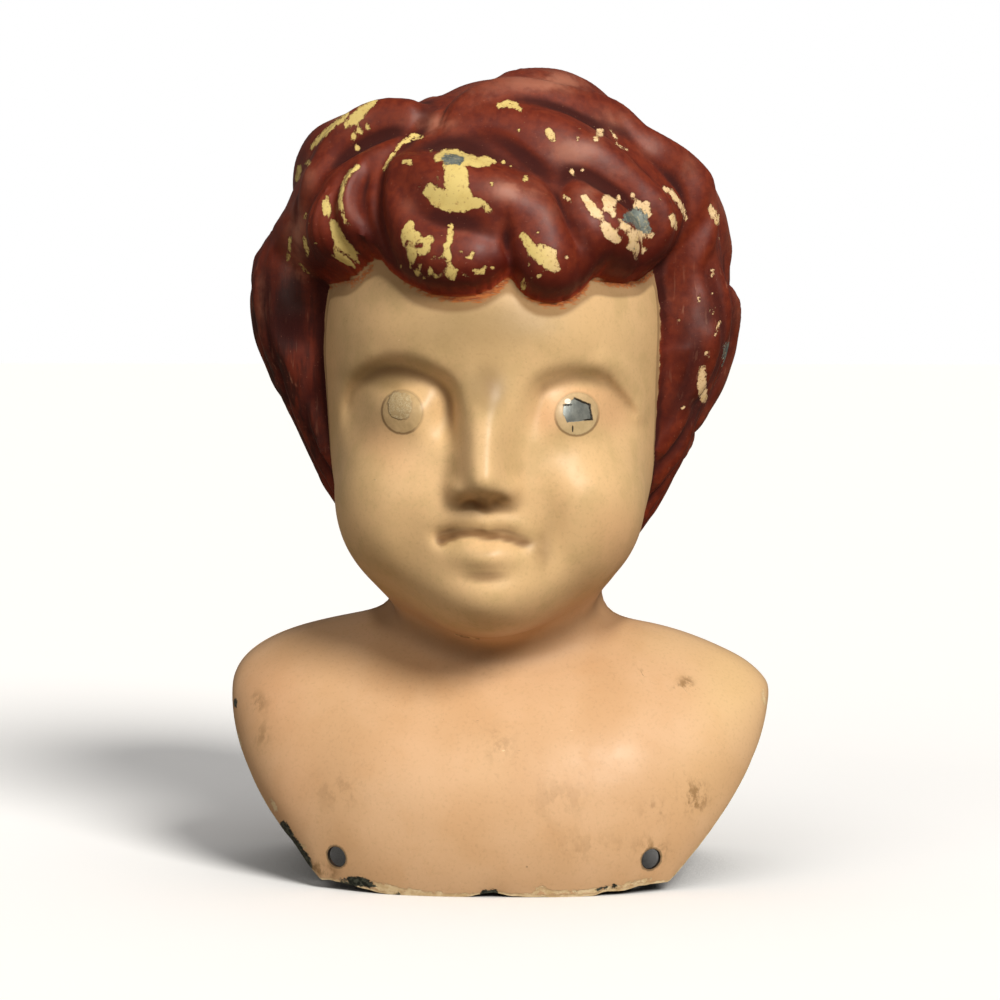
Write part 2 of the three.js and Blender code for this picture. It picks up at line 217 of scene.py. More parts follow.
def hair_border(az, po, r):
    """Signed distance to the painted edge of the hair, in millimetres, positive in the hair."""
    side = (np.abs(az) - side_border(az, po)) * r * np.sin(po)
    x, y = az * np.sin(rad(68)) * LINE_R, po * LINE_R
    pts = np.stack([LINE_AZ * np.sin(rad(68)) * LINE_R, LINE_PO * LINE_R], axis=-1)
    pts = np.concatenate([[[pts[0, 0] - 60, pts[0, 1] - 4]], pts, [[pts[-1, 0] + 60, pts[-1, 1] - 4]]])
    d = polyline_distance(x, y, pts)
    order = np.argsort(pts[:, 0])
    top = np.where(y < np.interp(x, pts[order, 0], pts[order, 1]), d, -d)
    edge = EDGE_SIDE + (EDGE_NAPE - EDGE_SIDE) * step(rad(62), rad(150), np.abs(az))
    return np.minimum(smax(side, top, 1.2), HEAD[2] + r * np.cos(po) - edge)


def polyline_distance(x, z, pts):
    best = np.full(x.shape, 1e9)
    for (ax, az), (bx, bz) in zip(pts[:-1], pts[1:]):
        dx, dz = bx - ax, bz - az
        t = np.clip(((x - ax) * dx + (z - az) * dz) / max(dx * dx + dz * dz, 1e-12), 0, 1)
        best = np.minimum(best, np.hypot(x - ax - t * dx, z - az - t * dz))
    return best


# ------------------------------------------------------------------ locks
# at: in the photograph's frame (x, y, half width in pixels, height in mm), or "deg": azimuth from the face and angle
# from the crown in degrees, half width and height in mm. sk: how far the crest leans aside, g: depth of the comb
# lines, n: how many
LOCKS = [
    dict(name="side_top_l", at=[(430, 109, 13, 1.6), (408, 101, 22, 3.4), (376, 101, 28, 4.6), (344, 118, 29, 4.5), (318, 148, 28, 3.7), (303, 176, 24, 3.3), (293, 200, 14, 1.6)], g=0.07, n=4, k=2.5),
    dict(name="under_l", at=[(400, 138, 9, 0.8), (375, 148, 15, 1.6), (350, 163, 18, 1.9), (328, 180, 16, 1.7), (314, 198, 12, 1.2)], k=2.0),
    dict(name="outer_l", at=[(338, 178, 10, 1.4), (322, 198, 19, 2.6), (308, 226, 27, 3.3), (303, 252, 30, 3.5), (310, 274, 26, 3.1), (322, 286, 16, 1.8)], g=0.16, n=6, k=1.2, pp=0.8),
    dict(name="inner_l", at=[(357, 166, 7, 1.8), (345, 184, 12, 2.5), (338, 205, 16, 2.9), (339, 227, 18, 3.1), (348, 247, 18, 3.0), (363, 262, 13, 2.1)], k=1.0),
    dict(name="ridge_l", at=[(360, 162, 4, 2.2), (349, 175, 5, 3.1), (343, 191, 5, 3.4), (341, 206, 5, 3.4), (344, 221, 4, 3.0)], k=0.6),
    dict(name="bulb_l", at=[(391, 178, 13, 1.5), (396, 208, 21, 2.4), (412, 236, 31, 3.3), (438, 254, 42, 3.9), (470, 260, 40, 3.8), (496, 262, 26, 2.8)], k=1.0, p=0.9),
    dict(name="bulb_m", at=[(528, 190, 24, 2.6), (542, 222, 32, 3.7), (549, 250, 37, 4.2), (553, 273, 35, 4.0), (553, 290, 22, 2.8)], k=0.7, pp=0.65, p=0.9),
    dict(name="roll", at=[(391, 160, 12, 1.6), (414, 163, 26, 3.2), (446, 173, 41, 4.5), (482, 182, 40, 4.5), (516, 194, 34, 4.2), (544, 214, 28, 3.8), (552, 240, 20, 3.2)], k=0.8, pp=0.5, p=1.2),
    dict(name="crown_1", at=[(446, 122, 10, 0.8), (461, 98, 20, 2.6), (488, 83, 28, 3.8), (522, 79, 31, 3.8), (562, 86, 31, 3.3), (601, 95, 29, 2.9), (632, 113, 25, 2.2), (650, 140, 14, 0.8)], g=0.06, n=4, k=2.5),
    dict(name="crown_2", at=[(452, 122, 10, 1.2), (480, 112, 21, 2.0), (520, 110, 32, 2.6), (562, 122, 36, 2.9), (598, 142, 35, 3.0), (628, 166, 28, 2.6), (650, 188, 18, 1.8)], g=0.04, n=3, k=2.5),
    dict(name="inner_r", at=[(606, 168, 11, 1.4), (632, 176, 19, 2.3), (657, 192, 23, 3.0), (672, 214, 24, 3.2), (676, 238, 21, 3.0), (670, 260, 17, 2.3), (664, 280, 13, 1.6)], k=1.2, pn=0.75),
    dict(name="bulb_r", at=[(584, 186, 14, 1.8), (598, 206, 30, 3.4), (616, 228, 41, 4.5), (630, 248, 36, 4.2), (639, 264, 20, 2.8)], k=0.7, pp=0.5, p=1.0),
    dict(name="outer_r", at=[(642, 127, 16, 1.8), (670, 140, 24, 3.0), (698, 160, 27, 3.7), (717, 188, 28, 3.9), (724, 220, 24, 3.2), (720, 246, 16, 1.9)], g=0.05, n=2, k=1.5, pp=0.8),
    # beside the face, left
    dict(name="left_wave", at=[(286, 228, 12, 1.2), (270, 250, 19, 2.6), (261, 280, 22, 3.4), (262, 312, 22, 3.6), (270, 342, 20, 3.2), (286, 366, 17, 2.2), (296, 392, 14, 1.3), (306, 418, 12, 1.2), (318, 446, 10, 1.0)], g=0.16, n=4, k=1.2),
    dict(name="left_strand", at=[(308, 292, 10, 1.6), (312, 312, 11, 2.1), (311, 334, 11, 2.1), (302, 354, 11, 1.9), (295, 374, 11, 1.7), (299, 396, 11, 1.6), (309, 420, 10, 1.4), (320, 446, 8, 1.0)], g=0.1, n=3, k=0.8),
    dict(name="left_edge", at=[(322, 300, 5, 1.0), (323, 325, 6, 1.3), (324, 350, 6, 1.3), (327, 380, 6, 1.2), (329, 410, 6, 1.0), (331, 440, 5, 0.8)], g=0.05, n=2, k=0.6),
    # beside the face, right
    dict(name="right_1", at=[(702, 262, 14, 0.9), (714, 280, 20, 1.8), (721, 304, 24, 2.3), (721, 334, 24, 2.4), (713, 362, 21, 2.0), (703, 386, 16, 1.4)], k=1.2),
    dict(name="right_2", at=[(668, 286, 12, 1.2), (680, 302, 14, 1.6), (688, 326, 17, 1.9), (686, 352, 19, 1.9), (683, 378, 18, 1.7), (680, 402, 15, 1.3)], k=1.2),
    dict(name="right_3", at=[(706, 408, 13, 0.8), (694, 428, 16, 1.2), (683, 450, 15, 1.2), (670, 476, 11, 0.8)], k=1.2),
    # round the sides to the back
    dict(name="turn_l1", deg=[(-64, 33, 4.5, 2.2), (-82, 38, 5.4, 3.0), (-102, 46, 5.2, 2.8), (-118, 56, 4.6, 2.5), (-128, 66, 3.5, 1.8)], k=1.5, g=0.08, n=4),
    dict(name="turn_l2", deg=[(-84, 62, 3.6, 1.0), (-91, 67, 5.0, 1.9), (-97, 77, 5.8, 2.4), (-99, 88, 5.6, 2.3), (-98, 100, 4.4, 1.3), (-99, 112, 3.4, 0.7)], k=1.5, g=0.1, n=4),
    dict(name="turn_l3", deg=[(-94, 100, 3.0, 0.3), (-98, 108, 3.8, 0.7), (-106, 118, 4.0, 1.4), (-112, 128, 3.4, 1.2)], k=1.5, g=0.1, n=3),
    dict(name="turn_r1", deg=[(60, 6, 4.0, 1.4), (92, 13, 5.0, 2.3), (118, 26, 5.2, 2.2), (126, 40, 5.0, 2.2), (122, 54, 4.0, 1.7)], k=1.5, g=0.08, n=4),
    dict(name="turn_r2", deg=[(92, 44, 4.2, 2.4), (97, 56, 5.0, 2.6), (106, 66, 5.2, 2.6), (114, 78, 4.8, 2.3), (114, 90, 3.8, 1.6)], k=1.5, g=0.08, n=4),
    dict(name="turn_r3", deg=[(92, 76, 4.0, 1.6), (98, 88, 4.8, 2.1), (98, 101, 4.6, 2.0), (104, 113, 4.0, 1.6), (112, 124, 3.2, 1.1)], k=1.5, g=0.1, n=4),
]
# along the back: rows of waved locks that overlap like tiles
ROWS = [
    dict(top=16, low=48, a=128, b=240, count=4, sway=16, w=7.4, h=2.4),
    dict(top=42, low=78, a=118, b=246, count=5, sway=-10, w=7.2, h=3.0),
    dict(top=72, low=110, a=120, b=248, count=6, sway=9, w=6.6, h=2.9),
    dict(top=102, low=138, a=112, b=252, count=7, sway=-6, w=5.6, h=2.4),
]
# creases and pits, in the photograph's frame: (x, y, half width in pixels, depth in mm)
CREASES = [
    [(410, 188, 4, 0.3), (424, 204, 5, 0.8), (440, 215, 5, 1.0), (458, 221, 5, 1.1), (480, 223, 5, 1.1), (502, 225, 4, 0.9)],
    [(506, 228, 4, 0.9), (507, 246, 4, 1.0), (511, 264, 4, 0.8), (514, 276, 3, 0.5)],
    [(554, 192, 4, 0.3), (563, 214, 5, 0.9), (574, 238, 5, 1.1), (589, 259, 5, 1.0), (600, 273, 4, 0.6)],
    [(440, 112, 5, 0.2), (452, 122, 6, 0.3), (478, 126, 7, 0.6), (500, 133, 7, 0.8), (521, 148, 7, 0.9), (542, 165, 6, 0.7), (560, 178, 4, 0.3)],
    [(430, 106, 7, 1.0), (422, 124, 8, 0.9), (402, 142, 7, 0.5), (386, 162, 7, 0.6), (378, 188, 8, 0.8), (376, 215, 8, 0.9), (381, 242, 7, 0.9), (390, 262, 5, 0.6)],
    [(364, 176, 5, 0.3), (360, 195, 7, 0.7), (360, 218, 7, 0.8), (368, 240, 6, 0.5)],
    [(394, 130, 5, 0.2), (370, 138, 7, 0.5), (345, 150, 8, 0.6), (322, 168, 8, 0.7), (304, 194, 8, 0.9), (290, 218, 8, 0.9), (278, 240, 5, 0.4)],
    [(648, 152, 6, 0.4), (675, 175, 7, 0.8), (694, 205, 7, 1.0), (699, 230, 7, 1.0), (692, 254, 6, 0.7), (684, 274, 5, 0.4)],
    [(584, 166, 6, 0.3), (612, 188, 7, 0.4), (640, 200, 6, 0.4), (654, 216, 6, 0.6), (656, 244, 5, 0.6), (652, 262, 4, 0.4)],
    [(322, 294, 6, 0.5), (302, 296, 8, 0.8), (288, 290, 7, 0.6)],
    [(290, 302, 6, 0.8), (291, 318, 8, 1.5), (292, 336, 8, 1.5), (290, 350, 6, 0.7)],
    [(313, 352, 4, 0.5), (315, 372, 5, 1.1), (315, 392, 5, 1.2), (318, 414, 4, 0.8), (322, 436, 3, 0.5)],
    [(274, 262, 3, 0.3), (270, 286, 4, 0.7), (272, 316, 4, 0.8), (280, 344, 4, 0.7), (292, 370, 3, 0.5), (300, 398, 3, 0.4)],
    [(283, 250, 3, 0.3), (279, 274, 3, 0.6), (281, 300, 3, 0.6), (286, 330, 3, 0.5)], [(305, 300, 3, 0.4), (303, 322, 3, 0.6), (304, 342, 3, 0.6), (308, 360, 3, 0.4)],
    [(262, 268, 3, 0.3), (260, 296, 3, 0.5), (264, 324, 3, 0.5), (273, 352, 3, 0.4)], [(672, 300, 3, 0.3), (671, 330, 4, 0.6), (668, 365, 4, 0.6), (664, 400, 3, 0.5), (659, 436, 3, 0.4)],
    [(700, 336, 3, 0.3), (697, 362, 4, 0.7), (692, 388, 4, 0.8), (688, 410, 3, 0.5)], [(727, 300, 3, 0.3), (728, 326, 3, 0.5), (722, 356, 3, 0.5), (714, 380, 3, 0.4)],
    [(697, 306, 6, 0.8), (706, 320, 7, 1.0)], [(708, 232, 5, 0.4), (714, 242, 5, 0.5)],
    [(668, 314, 9, 0.6), (666, 334, 11, 1.0), (664, 346, 8, 0.8)], [(686, 398, 8, 0.7), (700, 414, 9, 1.0)],
    [(718, 264, 8, 0.6), (736, 272, 9, 0.9)],
]
# broad dips between the masses: azimuth, angle from the crown, radius and depth in mm
DIPS = [(-84, 13, 7.5, 2.3), (-130, 16, 7, 2.0), (-50, 19, 4.5, 1.3), (-84, 55, 4.6, 0.9), (-100, 56, 5, 0.9), (86, 33, 4.5, 0.8), (104, 32, 5.5, 1.3), (90, 69, 5, 0.8), (-92, 104, 6, 0.6), (92, 104, 6, 0.7)]
LIFT = 0.5


def spline(points, n):
    """Smooth open curve through the points, n + 1 samples."""
    p = np.asarray(points, float)
    p = np.concatenate([2 * p[:1] - p[1:2], p, 2 * p[-1:] - p[-2:-1]])
    out = []
    m = len(p) - 3
    for k in range(n + 1):
        u = k / n * m
        i = min(int(u), m - 1)
        t = u - i
        a, b, c, d = p[i], p[i + 1], p[i + 2], p[i + 3]
        out.append(0.5 * (2 * b + (c - a) * t + (2 * a - 5 * b + 4 * c - d) * t * t + (3 * b - a - 3 * c + d) * t**3))
    return np.array(out)


def rising_radius(az, po):
    """Radius of the hair without its locks, with its rise from the painted edge."""
    rs, rh = reach(skin, az, po), reach(hair_mass, az, po)
    t = np.clip(hair_border(az, po, rs) / HAIR_STEP, 0, 1)
    return rs + np.maximum(rh - rs, 0) * np.sqrt(1 - (1 - t) ** 2)


def on_sphere(at, lift, side=False):
    """Points of the photograph's frame as points of the sphere that carries the locks, with widths in millimetres there."""
    at = np.asarray(at, float)
    az, po = pick(at[:, :2], lift, rising_radius if side else None)
    true = shell_radius(az, po)
    turn = 1 / np.clip(np.cos(az) * np.sin(po) * 1.4 + 0.15, 0.45, 1) if side else 1.0
    return np.concatenate([direction(az, po) * SPHERE, (at[:, 2] * MM_PER_PX * SPHERE / true * turn)[:, None], at[:, 3:4]], axis=1)


def chain_on_sphere(rows, n=24):
    c = spline(rows, n)
    c[:, :3] *= (SPHERE / np.linalg.norm(c[:, :3], axis=1))[:, None]
    c[:, 3:] = np.maximum(c[:, 3:], 0.05)
    return c


def deg_rows(rows):
    return np.array([[*(direction(rad(a), rad(p)) * SPHERE), w, h] for a, p, w, h in rows])


SIDE_SCALE = 0.5
for L in LOCKS:
    if L["name"][:5] in ("left_", "right"):
        L["at"] = [(x, y, w, h * SIDE_SCALE) for x, y, w, h in L["at"]]
locks = [dict(L, chain=chain_on_sphere(on_sphere(L["at"], LIFT + 0.9 * np.asarray(L["at"], float)[:, 3], L["name"][:5] in ("left_", "right")) if "at" in L else deg_rows(L["deg"]))) for L in LOCKS]
for k, row in enumerate(ROWS):
    for i in range(row["count"]):
        az = row["a"] + (row["b"] - row["a"]) * (i + 0.5) / row["count"] + 8 * (seeded(k * 31 + i) - 0.5)
        swing = (1 if az < 180 else -1) * row["sway"] * (0.8 + 0.5 * seeded(k * 17 + i * 3))
        w, h = row["w"] * (0.9 + 0.25 * seeded(k * 7 + i)), row["h"]
        rows_ = []
        for s, t, e in zip((-0.6, 0.3, 0.7, 0.2, -0.5), (0, 0.25, 0.5, 0.75, 1), (0.55, 0.8, 1.0, 1.0, 0.65)):
            d = direction(rad(az + swing * s), rad(row["top"] + (row["low"] - row["top"]) * t)) * SPHERE
            rows_.append([*d, w * e, h * (0.55 + 0.45 * e)])
        locks.append(dict(name="row%d_%d" % (k, i), chain=chain_on_sphere(rows_), g=0.09, n=4, k=1.4, sk=0.1))
creases = [chain_on_sphere(on_sphere(c, 0.5 if abs(c[0][0] - 495) > 165 else 1.0, abs(c[0][0] - 495) > 165), 16) for c in CREASES]


def along(p, chain):
    """Nearest place on a chain: distance over the half width, signed side, and the value carried there."""
    best = np.full(len(p), 99.0)
    lat, val = np.zeros(len(p)), np.zeros(len(p))
    P, W, H = chain[:, :3], chain[:, 3], chain[:, 4]
    for k in range(len(P) - 1):
        a, ab = P[k], P[k + 1] - P[k]
        t = np.clip((p - a) @ ab / max(ab @ ab, 1e-9), 0, 1)
        diff = p - (a + t[:, None] * ab)
        d = np.linalg.norm(diff, axis=1) / (W[k] + (W[k + 1] - W[k]) * t)
        side = np.sign(np.einsum("ij,ij->i", np.cross(ab, p), diff))
        m = d < best
        best, lat, val = np.where(m, d, best), np.where(m, d * side, lat), np.where(m, H[k] + (H[k + 1] - H[k]) * t, val)
    return best, lat, val


def near_chain(q, chain, reach_):
    mid = chain[:, :3].mean(0)
    return np.where(((q - mid) ** 2).sum(1) < (np.linalg.norm(chain[:, :3] - mid, axis=1).max() + reach_ * chain[:, 3].max() + 1) ** 2)[0]


def lock_field(az, po):
    """Height of the locks over the hair, the comb lines on them, and how near each place is to a crest."""
    q = direction(az, po) * SPHERE
    shape = az.shape
    q = q.reshape(-1, 3)
    top, groove, crest = np.zeros(len(q)), np.zeros(len(q)), np.zeros(len(q))
    for L in locks:
        near = near_chain(q, L["chain"], 1.0)
        if not len(near):
            continue
        best, lat, hh = along(q[near], L["chain"])
        inside = best < 1
        qq = lat - L.get("sk", 0.0) * (1 - lat**2)
        power = np.where(qq > 0, L.get("pp", L.get("p", 1.2)), L.get("pn", L.get("p", 1.2)))
        h = np.where(inside, hh * np.maximum(1 - qq**2, 0) ** power, 0)
        g = np.where(inside, L.get("g", 0.0) * np.cos(pi * L.get("n", 2) * lat + 0.6) * (1 - best**2), 0)
        old = top[near]
        kk = np.maximum(np.minimum(L.get("k", 1.0), 2 * np.minimum(old, h)), 1e-3)
        new = smax(old, h, kk)
        w = step(-0.3, 0.3, h - old)
        top[near] = new
        groove[near] = groove[near] * (1 - w) + g * w
        crest[near] = crest[near] * (1 - w) + np.where(inside, (1 - np.abs(qq)) * step(0, 2.5, hh), 0) * w
    cut = np.zeros(len(q))
    for c in creases:
        near = near_chain(q, c, 2.5)
        if len(near):
            best, lat, dd = along(q[near], c)
            cut[near] = np.maximum(cut[near], dd * np.exp(-(best**2)))
    for a, p, size, depth in DIPS:
        d2 = ((q - direction(rad(a), rad(p)) * SPHERE) ** 2).sum(1)
        top = top - depth * np.exp(-d2 / size**2)
    return top.reshape(shape), groove.reshape(shape), crest.reshape(shape), cut.reshape(shape)


# ------------------------------------------------------------------ face, modelled forward from the skin; x and z in millimetres
FACE_X = -0.6
BUMPS = [  # x, z, half widths, height
    (-15.0, 91.5, 9.0, 3.4, 0.6), (15.0, 90.5, 9.0, 3.4, 0.6),     # brows
    (-0.4, 59.2, 8.6, 6.2, 1.8),                                   # muzzle
    (-3.0, 61.3, 3.0, 1.3, 0.75), (2.2, 61.0, 3.0, 1.3, 0.7),      # upper lip
    (-0.2, 56.2, 4.8, 2.1, 1.9),                                   # lower lip
    (-0.2, 53.2, 4.4, 1.2, -0.7), (0.0, 48.0, 7.6, 5.4, 2.6),      # under the lip, chin
    (-11.5, 50.5, 7, 5.5, 0.9), (11.5, 51.0, 7.5, 6.0, 1.7),       # jaw
    (-6.9, 59.2, 1.7, 1.1, -0.9), (5.9, 58.3, 1.5, 1.1, -0.4),     # corners of the mouth
    (-0.3, 63.2, 1.1, 1.3, -0.35),                                 # philtrum
    (-12.5, 59, 3.2, 6.5, -0.5), (9.8, 61.0, 3.0, 6.5, -1.5),      # beside the mouth
    (-14.5, 67.5, 7.5, 5.5, 0.9), (15.5, 67.5, 7.5, 5.5, 1.3),     # cheeks
    (-5.6, 79.6, 2.6, 5.2, -1.9),                                  # inner corner of the socket, in the shade of the nose
    (5.8, 78.0, 2.4, 5.0, -0.5),
]
MOUTH = [(-7.2, 59.1), (-5.8, 59.7), (-4.0, 60.2), (-1.6, 60.1), (0.0, 59.4), (1.7, 59.9), (3.7, 59.4), (5.9, 58.3)]
BROWS = [
    [(-27.5, 73.0), (-26.2, 76.6), (-24.6, 80.4), (-22.2, 84.0), (-18.4, 86.6), (-14, 87.4), (-9.6, 86.4), (-6.4, 84.6), (-4.3, 81.4), (-3.6, 77.0)],
    [(3.6, 79.5), (6.4, 83.2), (9.6, 85.2), (13.0, 86.0), (16.2, 85.7), (19.0, 84.2), (21.4, 81.6), (23.5, 78.6), (25.2, 75.0)],
]
BROW_ROLLS = [[(-19.5, 88.0), (-23.0, 85.6), (-25.6, 81.8), (-26.2, 79.0)], [(18.6, 87.0), (22.3, 85.0), (24.9, 81.2), (24.6, 78.4)]]
EYES = [(-13.7, 78.9), (14.2, 78.6)]
DISC = 3.45


def face_relief(x, z):
    x = x - FACE_X
    h = np.zeros(x.shape)
    for cx, cz, a, b, v in BUMPS:
        h += v * np.exp(-(((x - cx) / a) ** 2) - ((z - cz) / b) ** 2)
    for k in (0, 1):
        pts = spline(BROWS[k], 48)
        d = polyline_distance(x, z, pts)
        inside = (z < np.interp(x, pts[:, 0], pts[:, 1], left=-99, right=-99))
        d = np.where(inside, d, -d)
        cx, cz = EYES[k]
        low = step(69.5, 78.5, z - 0.02 * (x - cx) ** 2)
        ends = (1 - step(22.5, 26.5, np.abs(x))) * (step(-3.2, -5.4, x) if k == 0 else step(4.6, 9.0, x))
        h -= (3.0, 2.5)[k] * step(-1.2, 2.1, d) * (1 - 0.75 * step(2.1, 8.5, d)) * low * ends
        e = ((x - cx) / 6.9) ** 2 + ((z - cz + 0.3) / 4.9) ** 2
        h += 1.5 * np.exp(-(e**1.25))
        r = np.hypot(x - cx, z - cz)
        h += 0.12 * (1 - step(DISC - 0.2, DISC + 0.2, r))
        d = polyline_distance(x, z, spline(BROW_ROLLS[k], 16))
        h += (0.4, 0.9)[k] * np.exp(-((d / 1.7) ** 2))
    d = polyline_distance(x, z, spline([(18.9, 83.8), (21.0, 81.2), (23.6, 78.2)], 12))
    h -= 0.5 * np.exp(-((d / 0.7) ** 2))
    # nose: bridge, tip, wings
    height = table([62.4, 63.8, 64.8, 65.8, 67.0, 68.5, 70.5, 73, 76, 79, 82, 85.5, 90], [0, 0.35, 1.8, 4.2, 6.1, 6.9, 6.8, 6.1, 5.0, 3.5, 1.6, 0.3, 0], z)
    width = np.interp(z, [63, 67, 70, 74, 78, 84, 89], [3.7, 3.8, 3.7, 3.6, 3.8, 4.6, 5.5])
    h += np.maximum(height, 0) * np.exp(-np.abs((x + 0.4) / (width + 0.3)) ** 2.6)
    h += 0.7 * np.exp(-(((x - 0.1) / 2.6) ** 2) - ((z - 68.2) / 2.2) ** 2)
    for s, m in ((-1, 1.9), (1, 1.5)):
        h += m * np.exp(-(((x + 0.5 - s * 4.3) / 1.6) ** 2) - ((z - 66.7) / 1.8) ** 2)
    h -= 1.8 * np.exp(-(((x + 2.3) / 1.4) ** 2) - ((z - 65.0) / 0.9) ** 2)
    h -= 1.3 * np.exp(-(((x - 1.3) / 1.2) ** 2) - ((z - 65.5) / 0.75) ** 2)
    # mouth line
    pts = spline(MOUTH, 28)
    d = polyline_distance(x, z, pts)
    h -= 1.35 * np.exp(-((d / 1.3) ** 2)) * (1 - 0.6 * step(3.0, 6.5, x)) * (1 - 0.5 * step(-5.5, -7.5, x))
    return h


# ------------------------------------------------------------------ shoulder plate
PLATE_X, PLATE_F, PLATE_B, PLATE_N = 45.7, 35.0, 32.0, 2.25
TIP_Z, CORNER, FOOT, NECK_Z, NECK_DIP, TUCK = 31.2, 41.0, 1.5, 44.4, 6.4, 4.0
BREASTS = [(-21, 25, 12, 9, 1.3), (22, 26, 12, 9, 1.5)]
SHOULDER_DROP = 1.4


def neck_angle(az):
    c, s = np.cos(az), np.sin(az)
    z = NECK_Z - NECK_DIP * np.maximum(c, 0) ** 2 - 1.5 * np.maximum(-c, 0) ** 2
    r = 1 / np.hypot(s / 17.0, c / np.where(c > 0, 15, 16.6))
    return pi - np.arctan2(r, HEAD[2] - z)


def plate_point(start, az, t):
    c, s, e = np.cos(az), np.sin(az), 2 / PLATE_N
    x1 = PLATE_X * np.sign(s) * np.abs(s) ** e
    y1 = SEAM_Y + np.where(c > 0, -PLATE_F, PLATE_B) * np.abs(c) ** e
    a = np.degrees(np.arctan2(np.abs(s), np.abs(c)))
    u = np.clip(smax((a - CORNER) / (90 - CORNER), 0 * t, 0.34 * (1 - t) + 0.012), 0, 1)
    z1 = TIP_Z * (u**1.05 - 0.45 * np.maximum(u - 0.84, 0) ** 2 / 0.16) + FOOT * step(20, 38, a)
    side = step(20, 90, a)
    flare = 0.1 + 0.06 * side
    m, n = np.where(c > 0, 1.9, 2) + 0.7 * side, 2.0
    h = np.sin(t * pi / 2) ** (2 / m)
    v = np.maximum(np.cos(t * pi / 2), 0) ** (2 / n)
    g = flare * (1 - h) ** 3 + (1 - flare) * v
    x = start[..., 0] + (x1 - start[..., 0]) * h
    y = start[..., 1] + (y1 - start[..., 1]) * h
    z = z1 + (start[..., 2] - z1) * g
    inward = TUCK * (1 - step(34, 88, a)) * np.clip((t - 0.6) / 0.4, 0, 1) ** 2
    l = np.hypot(x1, y1)
    x, y = x - x1 / l * inward, y - y1 / l * inward
    swell = 0
    for bx, bz, rx, rz, hh in BREASTS:
        swell = swell + hh * np.exp(-(((x - bx) / rx) ** 2) - ((z - bz) / rz) ** 2)
    z = z - SHOULDER_DROP * step(22, 42, x) * step(28, 36, z)            # this shoulder sits a little lower
    return np.stack([x, y - np.where(c > 0, swell, 0), z], axis=-1)


